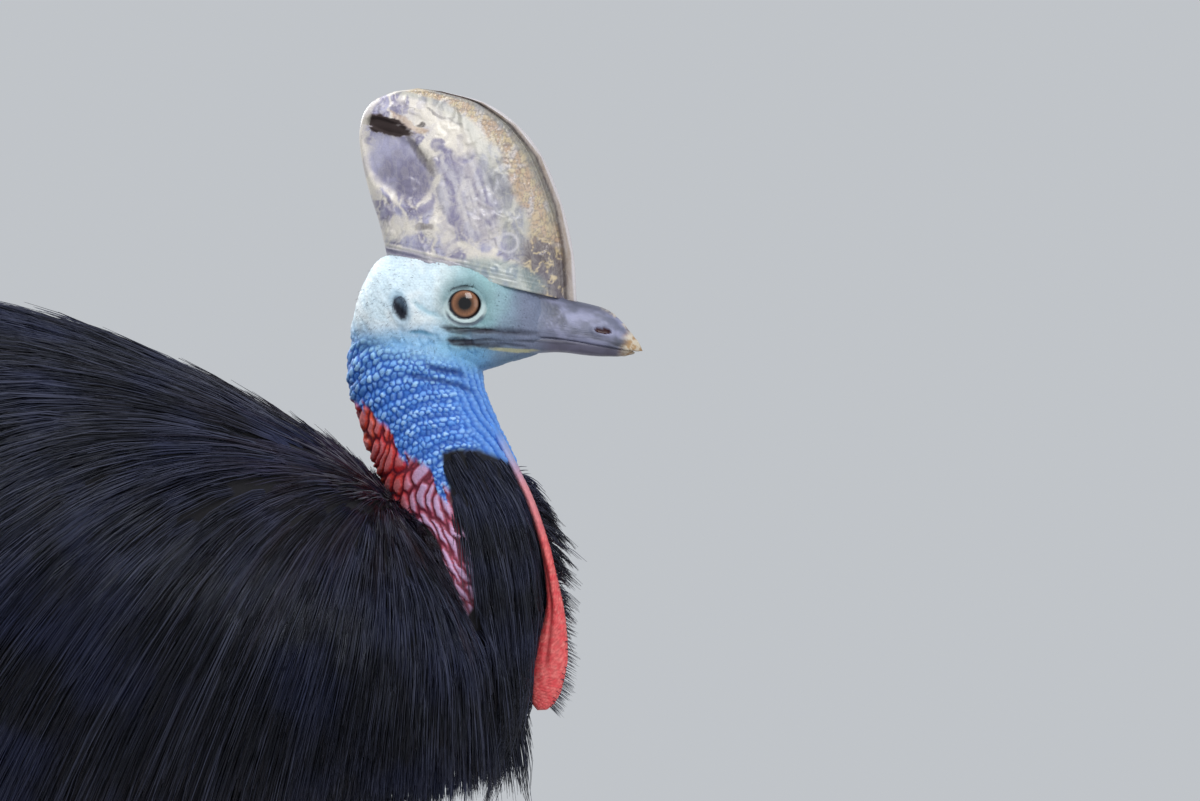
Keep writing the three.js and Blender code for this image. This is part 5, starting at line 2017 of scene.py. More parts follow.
    @staticmethod
    def round_eye(x: Array, side: Array, z: Array, relief: Array, colour: Array) -> tuple[Array, Array]:
        """Lids with a dark margin, the lower one broad and pale, and fine wrinkles round them.

        Args:
            x: The points' X.
            side: How far each point lies from the middle of the bird.
            z: The points' Z.
            relief: The relief so far.
            colour: The colour so far.

        Returns:
            The relief and the colour with the lids.
        """
        reach, turn, margin = eye_polar(x, z)
        out = reach - margin
        low = smoothstep(-np.sin(turn), -0.35, 0.5)
        shade = fade(reach, 14, 27) * (1 - 0.55 * low)
        colour = blend(colour, (0.13, 0.24, 0.27), shade * 0.75)
        rings = np.cos(2 * math.pi * (reach - 15) / 3.3) ** 2
        wrinkles = rings * fade(reach, 17, 27) * (reach > 15)
        broad = 1.6 + 3.3 * low
        lid = fade(out, broad, broad + 1.1) * (side > 26)
        colour = layer(
            colour,
            (colour * 0.7, wrinkles * 0.35 * smoothstep(x, 345, 368)),
            ((0.58, 0.70, 0.70), lid * (0.2 + 0.72 * low)),
            (INK, fade(out, 0.5, 1.3) * (side > 22)),
        )
        return relief * (1 - lid) + 0.35 * wrinkles, colour

    @staticmethod
    def round_ear(x: Array, side: Array, z: Array, relief: Array, colour: Array) -> tuple[Array, Array]:
        """A drop-shaped ear opening with a swollen rim.

        Args:
            x: The points' X.
            side: How far each point lies from the middle of the bird.
            z: The points' Z.
            relief: The relief so far.
            colour: The colour so far.

        Returns:
            The relief and the colour with the ear.
        """
        lean = x - EAR_AT[0] + 0.22 * (z - EAR_AT[2])
        reach = np.hypot(lean / 5.4, (z - EAR_AT[2]) / 9.6)
        rim = bell(reach, 1.35, 0.28)
        # Painted shade: the opening is painted near black, lighter towards its top, with a darker ring round
        # it.
        hollow = blend(plain((0.012, 0.015, 0.026), x), (0.12, 0.19, 0.27), smoothstep(z + lean, 961, 970))
        colour = layer(
            colour,
            ((0.20, 0.36, 0.50), fade(reach, 1.0, 1.9) * 0.55),
            (hollow, fade(reach, 0.82, 1.12)),
        )
        return relief + 0.8 * rim * (side > 20), colour

    def legs(self, p: Array) -> tuple[Array, Array]:
        """Broad plates down the front of the shank and along the toes, with small scales elsewhere.

        Args:
            p: Points of the lower legs and feet.

        Returns:
            The relief and the colour at each point.
        """
        relief, colours = np.zeros(len(p)), plain((0.09, 0.08, 0.062), p)
        for side in Side:
            own = p[:, 1] * side.value > 0
            q = p[own]
            _, along, angle = LOWER_LEGS[side].locate(q)
            angle = turned(angle)
            scale, tone = cell_pattern(angle * 21 / 8.0, along / 8.0, 7, 0.3)
            plate, plate_tone = cell_pattern(angle * 21 / 23.0, along / 13.0, 74, 0.6)
            front = fade(np.abs(angle), 0.9, 1.15) * fade(q[:, 2], 330, 345)
            height = scale * 1.5 * (1 - front) + smoothstep(plate, 0.0, 0.5) * 2.4 * front
            soft = cloud(along / 30, angle * 21 / 30, 14)
            crease = 1 - (smoothstep(scale, 0.02, 0.45) * (1 - front) + smoothstep(plate, 0.0, 0.3) * front)
            # Painted shade in the creases between the scales and plates.
            colour = layer(
                plain((0.135, 0.125, 0.10), q),
                ((0.27, 0.24, 0.18), tone * 0.5 * soft + (0.2 + 0.4 * plate_tone) * front),
                ((0.05, 0.05, 0.045), smoothstep(soft, 0.5, 0.75) * 0.5),
                ((0.016, 0.014, 0.012), crease * 0.9),
            )
            for name in Foot.toes:
                toe_height, toe_colour, weight = self.toe(q, side, name)
                height = height * (1 - weight) + toe_height * weight
                colour = blend(colour, toe_colour, weight)
            relief[own] = height * (q[:, 2] > 3) * fade(q[:, 2], 438, 452)
            colours[own] = colour
        return relief, colours

    @staticmethod
    def toe(q: Array, side: Side, name: str) -> tuple[Array, Array, Array]:
        """Plates along the top of one toe and granules on its pads.

        Args:
            q: Points of one foot.
            side: Which foot.
            name: Which toe.

        Returns:
            The relief, the colour, and how much of each point is the toe's.
        """
        gap, along, angle = TubeField(Foot(side).toe_stations(name)).locate(q)
        angle = turned(angle)
        weight = fade(gap, 1.0, 4.0) * smoothstep(along, 6, 16) * (q[:, 2] < 60)
        top = fade(np.abs(angle), 0.8, 1.1)
        plate = np.mod(along, 11.0) / 11.0
        step = smoothstep(plate, 0.0, 0.34) * (0.62 + 0.38 * plate)
        scale, tone = cell_pattern(angle * 15 / 5.5, along / 5.5, 8)
        height = top * step * 2.0 + (1 - top) * scale * 0.9
        crease = 1 - (top * smoothstep(step, 0, 0.45) + (1 - top) * smoothstep(scale, 0.05, 0.5))
        # Painted shade in the creases between the plates and scales.
        colour = layer(
            plain((0.13, 0.12, 0.095), q),
            ((0.23, 0.205, 0.155), tone * 0.6),
            ((0.022, 0.019, 0.015), crease * 0.85),
        )
        return height, colour, weight


def turned(angle: Array) -> Array:
    """Angles round a tube that runs down or forward, counted from its front or top instead of its back."""
    return np.where(angle > 0, angle - math.pi, angle + math.pi)


def lip_streaks(x: Array, z: Array) -> Array:
    """Long fine ridges that follow the line of the mouth, from 0 in the furrows to 1."""
    mouth = read_table(MOUTH, x)[:, 0]
    return smoothstep(cloud(x / 34, (z - mouth) / 2.3 + 0.4 * cloud(x / 12, z / 12, 24), 23, 2), 0.3, 0.62)


def eye_polar(x: Array, z: Array) -> tuple[Array, Array, Array]:
    """Reach and turn from the middle of an eye in the side view, and the reach of the lids' margin there."""
    a, b = x - EYE_AT[0] - 0.4, z - EYE_AT[2] + 0.2
    turn = np.arctan2(b, a)
    margin = 11.2 - 1.5 * np.maximum(np.sin(turn), 0) ** 1.5 + 0.5 * np.abs(np.cos(turn)) ** 3
    return np.hypot(a, b), turn, margin


# Horn, eyes, wattles and quills


class Tone(Enum):
    """The casque's colours."""

    CREAM = (0.80, 0.74, 0.65)
    CHALK = (0.60, 0.58, 0.62)
    LILAC = (0.245, 0.225, 0.34)
    PALE_LILAC = (0.42, 0.41, 0.56)
    DUSK = (0.105, 0.085, 0.10)
    SLATE = (0.15, 0.17, 0.18)
    UMBER = (0.026, 0.014, 0.013)
    TAN = (0.50, 0.34, 0.22)
    GOLD = (0.58, 0.46, 0.27)
    SAGE = (0.27, 0.285, 0.25)


# Marks of the casque's sides: tone, middle x and z, half length and width, turn, strength.
CASQUE_MARKS = (
    (Tone.CREAM, (366, 1099), (28, 15), -28, 0.95),
    (Tone.CREAM, (352, 1086), (15, 9), 60, 0.85),
    (Tone.CREAM, (316, 1052), (17, 5.5), -62, 0.9),
    (Tone.CREAM, (329, 1022), (18, 9), 5, 0.75),
    (Tone.CREAM, (362, 1022), (13, 6), -70, 0.75),
    (Tone.CREAM, (384, 1003), (20, 7), -12, 0.8),
    (Tone.CREAM, (353, 1054), (15, 4), 50, 0.8),
    (Tone.CREAM, (388, 1082), (24, 4), -62, 0.7),
    (Tone.LILAC, (329, 1116), (10, 5), 10, 0.85),
    (Tone.LILAC, (359, 1083), (7, 5), -40, 0.9),
    (Tone.LILAC, (347, 1039), (10, 5), 20, 0.85),
    (Tone.DUSK, (348, 1023), (11, 2.6), 18, 0.7),
    (Tone.LILAC, (314, 1034), (7, 3), -60, 0.8),
    (Tone.TAN, (333, 1104), (15, 3.4), -32, 0.75),
    (Tone.DUSK, (357, 1108), (9, 2.2), -30, 0.75),
    (Tone.DUSK, (371, 1102), (9, 1.3), -32, 0.55),
    (Tone.UMBER, (342.7, 1103.4), (1.9, 1.8), 0, 0.85),
)


@dataclass
class Casque:
    """The tall bladed casque with its front keel, a hollow at the back of each side and a ridged foot."""

    levels: int = 230
    points_across: int = 156
    keel: float = 2.6

    def build(self, material: Material) -> Item:
        """Loft the casque, press its relief into it and paint it.

        Args:
            material: The finish to dress it in.

        Returns:
            The piece.
        """
        place = (len(CASQUE_BACK) - 1) * np.linspace(0, 1, self.levels) ** 0.9
        tables = (CASQUE_BACK, CASQUE_FRONT, CASQUE_HALF)
        back, front, half = (self.read_levels(rows, place) for rows in tables)
        u = -np.cos(np.linspace(0, math.pi, self.points_across + 1))
        blade = np.maximum(0, 1 - np.abs(np.minimum((u + 1) / 0.93 - 1, 1)) ** 2.4)
        width = half * np.sqrt(blade)
        rim = self.keel * np.sqrt(np.maximum(0, 1 - (np.maximum(u - 0.93, -0.2) / 0.07) ** 2)) * (u > 0.8)
        groove = 1 - 0.55 * bell(u, 0.86, 0.04)
        width = np.maximum(width * groove, rim)
        x = back[:, :1] + (front[:, :1] - back[:, :1]) * (u + 1) / 2
        z = back[:, 1:] + (front[:, 1:] - back[:, 1:]) * (u + 1) / 2
        width = width - self.pressed(x, z) * smoothstep(width, 3, 8)
        one = np.stack([x, np.maximum(width, 0), z], axis=2)
        other = one[:, -2:0:-1] * MIRROR
        item = make_object("casque_blade", [loft(np.concatenate([one, other], axis=1), None, CASQUE_CROWN)])
        paint(item, self.colours(points_of(item)))
        dress(item, material, ["casque"])
        return item

    @staticmethod
    def read_levels(rows: Rows, place: Array) -> Array:
        """Read a table of levels at places counted in rows."""
        return read_table([(i, *row) for i, row in enumerate(rows)], place)

    @staticmethod
    def pressed(x: Array, z: Array) -> Array:
        """Depth of the hollows: the dent, the slot above it, the ridges at the foot and the worn surface.

        Args:
            x: The points' X.
            z: The points' Z.

        Returns:
            The depth at each point, in millimetres.
        """
        flow = cloud(x / 14, z / 18, 41)
        dent = 4.6 * spot(x + 5 * (flow - 0.5), z, (327, 1069), (34, 20), -44)
        slot = 3.0 * spot(x, z + 3 * (flow - 0.5), (318, 1099.5), (17, 4.6), -16)
        level = z + 0.24 * (x - 320)
        ridges = fade(level, 1006, 1016) * 1.1 * np.cos(2 * math.pi * level / 6.4) ** 2
        worn = 1.5 * smoothstep(cloud(x / 20 + flow, z / 26 + flow, 42), 0.45, 0.62)
        growth = 0.5 * cloud((x + 0.3 * z) / 3.2, z / 22, 43)
        pits = 0.7 * (1 - cell_pattern(x / 3.4, z / 3.4, 44)[0]) * smoothstep(x - front_edge(z), -34, -20)
        return dent + slot + ridges + (worn + growth) * (1 - 0.7 * slot / 3.0) + pits

    @classmethod
    def colours(cls, p: Array) -> Array:
        """Streaked lilac horn with cream marbling and marks, gold down the front, and the dent, with painted
        light and shade, and the slot.

        Args:
            p: The casque's points.

        Returns:
            Their colours.
        """
        x, z = p[:, 0], p[:, 2]
        flow = cloud(x / 15, z / 19, 51)
        warp_x, warp_z = x + 15 * (flow - 0.5), z + 15 * (cloud(x / 17, z / 15, 52) - 0.5)
        lilac = plain(Tone.LILAC.value, p)
        streak = smoothstep(cloud((x + 0.3 * z + 6 * flow) / 2.7, z / 30, 55), 0.36, 0.62)
        middle = spot(x, z, (378, 1047), (38, 24), -68)
        colour = layer(
            lilac,
            (Tone.PALE_LILAC.value, smoothstep(cloud(warp_x / 9, warp_z / 16, 53), 0.4, 0.7) * 0.8),
            (blend(lilac, Tone.CHALK.value, streak), middle * 0.75),
        )
        colour = blend(cls.marbled(colour, warp_x, warp_z), colour, 0.6 * middle)
        worn = 0.7 + 0.3 * smoothstep(cloud(warp_x / 3.6, warp_z / 4.6, 62), 0.35, 0.6)
        for tone, at, halves, turn, strength in CASQUE_MARKS:
            mark = spot(x + 22 * (flow - 0.5), warp_z, at, halves, turn)
            colour = blend(colour, tone.value, mark * strength * worn)
        colour = cls.gilded(colour, x, z, warp_x, warp_z, flow)
        colour = cls.hollowed(colour, x, z, flow)
        ring = np.abs(np.hypot((x - 409) / 7.4, (z - 1011) / 7.0) - 1)
        colour = blend(colour, Tone.CHALK.value, fade(ring, 0.06, 0.24) * 0.7)
        return cls.edged(colour, x, z, flow)

    @staticmethod
    def marbled(colour: Array, u: Array, v: Array) -> Array:
        """Winding cream veins, broad and fine, with thin dark ones between.

        Args:
            colour: The colour so far.
            u: The points' strayed X.
            v: Their strayed Z.

        Returns:
            The colour with the veins.
        """
        veins = (
            (56, 14.0, 0.10, Tone.CREAM, 0.85),
            (63, 8.0, 0.07, Tone.CREAM, 0.6),
            (68, 4.6, 0.06, Tone.CHALK, 0.5),
            (57, 16.0, 0.02, Tone.DUSK, 0.45),
            (69, 6.0, 0.025, Tone.DUSK, 0.4),
        )
        for seed, size, width, tone, strength in veins:
            vein = np.abs(cloud(u / size, v / size / 1.5, seed, 3) - 0.5)
            colour = blend(colour, tone.value, fade(vein, 0.25 * width, width) * strength)
        return colour

    @staticmethod
    def gilded(colour: Array, x: Array, z: Array, u: Array, v: Array, flow: Array) -> Array:
        """A sage to gold band inside the front edge, and the dark foot with its gold worm lines.

        Args:
            colour: The colour so far.
            x: The points' X.
            z: The points' Z.
            u: Their strayed X.
            v: Their strayed Z.
            flow: A slow cloud that the marks stray with.

        Returns:
            The colour with the band and the foot.
        """
        from_front = front_edge(z) - x
        stray = flow - 0.5
        sage = fade(from_front + 14 * stray, 40, 54) * smoothstep(z, 985, 1010)
        fleck, own = cell_pattern(u / 2.6, v / 4.4, 58)
        gold = fade(from_front + 12 * stray, 26, 36) * smoothstep(z, 985, 1005)
        outer = fade(from_front + 6 * stray, 9, 17) * smoothstep(z, 1010, 1040)
        golden = layer(
            plain(Tone.TAN.value, colour),
            (Tone.GOLD.value, smoothstep(own, 0.2, 0.9)),
            (Tone.CHALK.value, smoothstep(cloud(u / 4, v / 9, 65), 0.55, 0.7) * 0.6),
            (Tone.DUSK.value, fade(fleck, 0.05, 0.4) * 0.55),
            (Tone.SLATE.value, outer * 0.7),
        )
        worm = smoothstep(np.abs(cloud(x / 6.5, z / 6.5, 59, 3) - 0.5), 0.012, 0.06)
        wormed = blend(plain(Tone.GOLD.value, colour), Tone.DUSK.value, worm)
        return layer(
            colour,
            (Tone.SAGE.value, sage * (0.35 + 0.4 * cloud(u / 3.5, v / 16, 64))),
            (golden, gold * 0.85),
            (wormed, spot(x, z, (437, 989), (28, 17), 105) * 0.9),
        )

    @staticmethod
    def hollowed(colour: Array, x: Array, z: Array, flow: Array) -> Array:
        """The smooth lilac dent, with painted light growing upwards and backwards and painted shade along
        its upper front edge, and the brown slot over it.

        Args:
            colour: The colour so far.
            x: The points' X.
            z: The points' Z.
            flow: A slow cloud that the marks stray with.

        Returns:
            The colour with the dent and the slot.
        """
        stray = flow - 0.5
        dent = spot(x + 7 * stray, z + 4 * stray, (326.5, 1068.5), (29, 18.5), -50)
        # Painted light: the dent's lilac grows lighter upwards and backwards.
        shade = smoothstep(cloud(x / 11, z / 17, 60) + 0.014 * (z - 1069) - 0.006 * (x - 326), 0.2, 0.85)
        hollow = blend(plain(Tone.LILAC.value, colour) * 0.8, Tone.PALE_LILAC.value, shade)
        # Painted shade along the dent's upper front edge.
        brink = spot(x + 3 * stray, z, (342, 1078), (19, 3.0), -56)
        ragged = cloud(x / 6, z / 4, 70) - 0.5
        slot = spot(x + 9 * ragged, z + 6 * stray + 4 * ragged, (318, 1100), (19, 6.4), -21)
        return layer(
            colour,
            (hollow, dent * 0.97),
            (Tone.DUSK.value, brink * 0.65),
            ((0.10, 0.07, 0.075), smoothstep(slot, 0.05, 0.45) * 0.9),
            (Tone.UMBER.value, smoothstep(slot, 0.35, 0.8) * 0.97),
        )

    @staticmethod
    def edged(colour: Array, x: Array, z: Array, flow: Array) -> Array:
        """The ridged band round the foot, the dark line inside the keel, and the pale rims.

        Args:
            colour: The colour so far.
            x: The points' X.
            z: The points' Z.
            flow: A slow cloud that the marks stray with.

        Returns:
            The colour with the edges.
        """
        level = z + 0.24 * (x - 320) + 1.5 * (flow - 0.5)
        band = fade(level, 1007, 1010) * fade(x, 368, 400)
        line = smoothstep(cloud(x / 16, level / 1.7, 66, 2), 0.35, 0.65)
        banded = blend(plain(Tone.LILAC.value, colour) * 0.75, (0.48, 0.46, 0.50), line)
        lip = bell(level, 1009.5, 1.2) * fade(x, 368, 410)
        base = fade(level, 996, 1001) * fade(x, 340, 400)
        wide = 1 + 0.5 * fade(z, 980, 1060)
        from_front = (front_edge(z) - x) / wide
        groove = bell(from_front, 5.2, 1.2)
        keel = blend(plain(Tone.TAN.value, colour) * 0.5, Tone.CHALK.value, 0.5 * cloud(x / 4, z / 16, 61))
        back = read_table([(row[1], row[0]) for row in CASQUE_BACK], z)[:, 0]
        rim = fade(x - back, 3.5, 8) * smoothstep(z, 1014, 1024)
        return layer(
            colour,
            (banded, band * 0.9),
            (Tone.CREAM.value, lip * 0.7),
            ((0.16, 0.10, 0.10), base * 0.6),
            ((0.27, 0.37, 0.37), spot(x, z, (404, 985), (34, 13), -14) * 0.6),
            (keel, fade(from_front, 4.0, 5.2) * 0.9),
            ((0.07, 0.05, 0.05), groove * 0.85),
            (Tone.CHALK.value, fade(from_front, 0.9, 2.0) * 0.75),
            (Tone.CREAM.value, rim * 0.6 * smoothstep(flow, 0.25, 0.5)),
        )


def front_edge(z: Array) -> Array:
    """Where the casque's front edge stands at a height."""
    heights = [row[1] for row in CASQUE_FRONT]
    return np.interp(z, heights, [row[0] for row in CASQUE_FRONT])


@dataclass
class Bill:
    """Upper and lower bill with nostrils, growth lines and a flaking pale tip."""

    rings: int = 120
    points_round: int = 49
    gape: float = 0.17

    def build(self, material: Material) -> None:
        """Make both halves, which meet along the mouth."""
        halves = (("upper", UPPER_BILL, UPPER_SECTION, 1), ("lower", LOWER_BILL, LOWER_SECTION, -1))
        for word, rows, section, way in halves:
            x = np.linspace(rows[0][0], rows[-1][0], self.rings)
            far, half = read_table(rows, x).T
            near = read_table(MOUTH, x)[:, 0] + way * self.gape
            low, high = (near, far) if way > 0 else (far, near)
            outline = refine(section, self.points_round)
            item = self.shell(f"bill_{word}_horn", x, low, high, half, outline)
            self.wear(item)
            dress(item, material, [f"bill_{word}"])

    @staticmethod
    def shell(name: str, x: Array, low: Array, high: Array, half: Array, outline: Array) -> Item:
        """Loft one half of the bill.

        Args:
            name: The piece's name.
            x: Places of its sections.
            low: Their lowest heights.
            high: Their highest heights.
            half: Their half widths.
            outline: The section's right half: across and up, from 0 to 1.

        Returns:
            The piece.
        """
        across = np.maximum(outline[None, :, 0] * half[:, None], 0)
        z = low[:, None] + (high - low)[:, None] * outline[None, :, 1]
        one = np.stack([np.repeat(x[:, None], len(outline), 1), across, z], axis=2)
        other = one[:, -2:0:-1] * MIRROR
        rings = np.concatenate([one, other], axis=1)
        return make_object(name, [loft(rings, None, rings[-1].mean(0) + [0.8, 0, -0.4])])

    @staticmethod
    def wear(item: Item) -> None:
        """Press in the nostrils and growth lines, and paint slate, dark edges and a pale tip.

        Args:
            item: One half of the bill.
        """
        p, normals = points_of(item), normals_of(item)
        x, z = p[:, 0], p[:, 2]
        mouth = read_table(MOUTH, x)[:, 0]
        soft = cloud(x / 9, z / 6 + p[:, 1] / 9, 71)
        stray = soft - 0.5
        pit = spot(x, z, NOSTRIL_AT, (6.4, 2.0), -9) * (np.abs(p[:, 1]) > 3)
        lip = spot(x, z, (NOSTRIL_AT[0] - 1, NOSTRIL_AT[1]), (9.5, 4.2), -9) - pit
        lines = 1 - lip_streaks(x, z)
        edge = fade(np.abs(z - mouth), 2.0, 12.0)
        flakes = smoothstep(cloud(x / 3, z / 3, 72), 0.45, 0.6)
        crest = smoothstep(z - read_table(UPPER_BILL, x)[:, 0], -3.5, -0.5) * smoothstep(x, 474, 492)
        tip = np.maximum(smoothstep(x + 0.35 * (936 - z) + 9 * stray, 492, 502), 0.8 * crest * flakes)
        rough = spot(x + 8 * stray, z, (440, 957), (10, 15), 60) * 0.6
        scaly, own = cell_pattern(x / 3.4, z / 2.6, 73)
        push = 0.45 * lip - 2.8 * pit - 0.3 * edge * lines + 0.4 * tip * flakes
        push = push + 0.6 * rough * scaly + 0.35 * soft
        move_points(item, p + normals * push[:, None])
        ridge = smoothstep(z - mouth, 19, 28) * smoothstep(x, 440, 460)
        pale_tip = layer(
            plain((0.40, 0.24, 0.10), p),
            ((0.60, 0.52, 0.40), flakes),
            ((0.16, 0.11, 0.08), fade(z, 928, 932) * 0.5),
        )
        horn = layer(
            plain((0.13, 0.14, 0.21), p),
            ((0.29, 0.30, 0.45), smoothstep(soft, 0.3, 0.7) * 0.85),
            ((0.075, 0.06, 0.095), fade(z - mouth, -2, 1) * 0.75),
            ((0.06, 0.065, 0.09), rough * (1 - 0.8 * scaly * own)),
            ((0.03, 0.032, 0.05), edge * (0.35 + 0.6 * lines)),
            ((0.07, 0.075, 0.11), ridge * 0.7),
            (pale_tip, tip * 0.9),
            ((0.05, 0.012, 0.014), smoothstep(pit, 0.2, 0.6)),
        )
        paint(item, blend(SkinRelief(p).face(p)[1], horn, smoothstep(x + 6 * stray, 424, 446)))


@dataclass
class Eyes:
    """Both eyeballs."""

    rings: int = 40
    sides: int = 48

    def build(self) -> None:
        """Make each eye with its own finish."""
        radii = (EYE_ACROSS, EYE_BULGE, EYE_ACROSS)
        for side in Side:
            centre = mirrored([EYE_AT], side)[0]
            item = make_object(f"eyeball_{side.word}", [ball(centre, radii, self.rings, self.sides)])
            dress(item, EyeFinish(f"eye_{side.word}", side).build(), [f"eye_{side.word}"])


@dataclass
class Wattles:
    """The pair of long red wattles, grainy and set with short bristles down the front."""

    stations: int = 190
    seed: int = 40
    bristle_radius: float = 0.24

    def build(self, material: Material, bristle: Material) -> None:
        """Make each wattle and its bristles."""
        tree = feather_tree()
        for side in Side:
            stations = refine(mirrored(WATTLE, side), self.stations)
            item = make_object(f"wattle_fold_{side.word}", [tube(stations, 48, 2, 2.5)])
            self.wear(item, stations)
            dress(item, material, [f"wattle_{side.word}"])
            self.bristles(side, stations, tree, bristle)

    @staticmethod
    def wear(item: Item, stations: Array) -> None:
        """Press in beads and long folds, and paint it blue at the root and red below.

        Args:
            item: One wattle.
            stations: The stations that it was swept along.
        """
        p, normals = points_of(item), normals_of(item)
        _, along, angle = TubeField(stations).locate(p)
        bead, own = cell_pattern(angle * 8 / 2.5 + along / 9, along / 2.3, 6)
        low = smoothstep(along, 85, 165)
        wander = 1.15 + 0.35 * (cloud(along / 30, angle, 67) - 0.5)
        fold = bell(np.abs(angle), wander, 0.2) * low * fade(along, 193, 211)
        soft = cloud(along / 14, angle * 2, 68)
        push = bead * 0.4 + soft * 1.2 - fold * 1.6
        move_points(item, p + normals * (push * (0.4 + 0.6 * low))[:, None])
        # Painted shade between the beads and in the long folds; the blue root, pink upper part and red are
        # the skin's own colours.
        colour = layer(
            plain((0.80, 0.072, 0.085), p),
            ((0.92, 0.30, 0.27), (0.35 + 0.45 * soft) * own),
            ((0.34, 0.025, 0.03), np.maximum((1 - bead) * 0.5, fold * 0.85)),
            ((0.66, 0.30, 0.34), 0.75 * fade(along, 60, 120)),
            ((0.34, 0.38, 0.62), fade(along, 30, 66)),
            ((0.09, 0.28, 0.76), fade(along, 10, 36)),
        )
        paint(item, colour)

    def bristles(
        self, side: Side, stations: Array, tree: Tree, material: Material
    ) -> None:
        """Short dark hairs down the front of one wattle.

        Args:
            side: Which wattle.
            stations: Its stations.
            tree: The feathers' tree.
            material: The hairs' finish.
        """
        random = np.random.default_rng(self.seed + side.value)
        centres, _, across, front = tube_frames(stations)
        k = np.repeat(np.arange(40, 184, 2), 2)
        a = random.uniform(-0.9, 0.9, len(k)) * random.uniform(0.2, 1, len(k))
        forward, aside = -front[k] * np.cos(a)[:, None], across[k] * np.sin(a)[:, None]
        out = unit(forward + aside)
        roots = centres[k] + forward * stations[k, 4:5] + aside * stations[k, 3:4]
        length = (random.uniform(3.5, 10.0, len(k)) + 2.0 * smoothstep(k, 70, 140))[:, None]
        tip = roots + out * length + np.array([0, 0, -0.45]) * length
        lines = np.stack([roots - out * 0.6, (roots + tip) / 2 + out * 0.3, tip], axis=1)
        on_sheet = np.stack([0.8 + 0.001 * side.value * np.ones(len(k)), k / 140], axis=1)
        guides = Guides(lines, np.repeat(out[:, None], 3, axis=1), 0.6, on_sheet)
        item = guides.build(f"wattle_bristles_{side.word}")
        settings = {"Barbs": 2, "Barb radius": self.bristle_radius * MM, "Lift": 0.0003, "Wave": 0.0002}
        grow(item, tree, settings | {"Seed": 3, "Material": material})
        dress(item, material)


@dataclass
class FaceHairs:
    """Sparse short dark hairs over the eyes, in the ears, and down the nape, cheeks and lores."""

    radius: float = 0.14
    seed: int = 60

    def side_view(self, random: np.random.Generator) -> Array:
        """The hairs of one side as seen from it: x, z, the way each lies along X and Z, and its length.

        Args:
            random: The source of the scatter.

        Returns:
            One row for each hair.
        """
        lashes = refine(LASH_LINE, 30)
        rim = np.radians(np.linspace(5, 190, 46))
        groups = [
            (lashes[:, 0] + 0.6, lashes[:, 1] + 0.8, (0.35, 0.8), (2.5, 4.5)),
            (EAR_AT[0] + 5.4 * np.cos(rim), EAR_AT[2] + 9.4 * np.sin(rim), (-0.35, -0.9), (3.0, 6.5)),
            (random.uniform(295, 342, 190), random.uniform(902, 1000, 190), (-0.65, -0.55), (2.2, 4.6)),
            (random.uniform(342, 396, 90), random.uniform(910, 938, 90), (-0.3, -0.9), (1.8, 3.4)),
            (random.uniform(392, 424, 50), random.uniform(944, 972, 50), (-0.7, 0.1), (1.6, 2.8)),
        ]
        rows = []
        for x, z, way, lengths in groups:
            count = len(x)
            lie = np.array(way) + random.uniform(-0.22, 0.22, (count, 2))
            rows.append(np.column_stack([x, z, lie, random.uniform(*lengths, count)]))
        return np.concatenate(rows)

    def build(self, skin: Item, material: Material) -> None:
        """Stand the hairs on the finished skin, on each side of the head.

        Args:
            skin: The finished skin.
            material: The hairs' finish.
        """
        tree = feather_tree()
        for side in Side:
            rows = self.side_view(np.random.default_rng(self.seed + side.value))
            lines, normals, on_sheet = [], [], []
            for x, z, lie_x, lie_z, length in rows:
                start = to_metres(np.array([x, side.value * 90.0, z]))
                hit, place, normal, _ = skin.ray_cast(start, (0, -side.value, 0))
                if not hit or abs(normal[1]) < 0.15:
                    continue
                root, out = to_maker(np.array(place)), np.array(normal)
                way = np.array([lie_x, 0, lie_z])
                way = unit(way - out * (way @ out))
                bend = root + (0.42 * way + 0.3 * out) * length
                lines.append([root - 0.5 * out, bend, root + (0.9 * way + 0.42 * out) * length])
                normals.append([out] * 3)
                high = 0.5 + side.value * (0.02 + 0.45 * (z - 895) / 115)
                on_sheet.append([0.05 + 0.9 * (x - 290) / 140, high])
            guides = Guides(np.array(lines), np.array(normals), 0.2, np.array(on_sheet))
            item = guides.build(f"face_hairs_{side.word}")
            settings = {"Barbs": 1, "Barb radius": self.radius * MM, "Lift": 0.0, "Wave": 0.0001}
            grow(item, tree, settings | {"Seed": 5, "Material": material})
            dress(item, material)


@dataclass
class WingQuills:
    """The bare quills that a cassowary's small wing carries."""

    count: int = 5
    length: float = 215.0
    spread: float = 24.0

    def build(self, material: Material) -> None:
        """Sweep the quills of each wing."""
        tree = rod_tree()
        for side in Side:
            lines = np.stack([self.line(side, k) for k in range(self.count)])
            steps = lines.shape[1]
            normals = np.tile(np.array([0.0, side.value, 0.0]), (self.count, steps, 1))
            on_sheet = np.stack([np.full(self.count, 0.5), np.linspace(0.1, 0.9, self.count)], axis=1)
            item = Guides(lines, normals, 0.0, on_sheet).build(f"wing_quills_{side.word}")
            t = np.tile(np.linspace(0, 1, steps), self.count)
            store(item, "thick", (3.1 - 1.8 * t) * MM * np.where(t > 0.97, 0.4, 1))
            store(item, "own", np.repeat(np.linspace(0, 1, self.count), steps))
            grow(item, tree, {"Sides": 10, "Material": material})
            dress(item, material, [f"wing_{side.word}"])

    def line(self, side: Side, k: int) -> Array:
        """One quill's middle line, fanned from the end of the stub.

        Args:
            side: Which wing.
            k: The quill's number.

        Returns:
            Its points from root to tip.
        """
        x, y, z = WING_STUB[-1][:3]
        fan = math.radians(8 + self.spread * k / (self.count - 1))
        length = self.length * (1 - 0.09 * abs(k - 1.5))
        t = np.linspace(0, 1, 24)
        bend = fan + 0.3 * t
        along = length * t
        places = [x + 26 - 9 * k - along * np.cos(bend), z + 20 - 8 * k - along * np.sin(bend)]
        across = side.value * (y + 8 * np.sin(math.pi * t * 0.7))
        return np.stack([places[0], across, places[1]], axis=1)


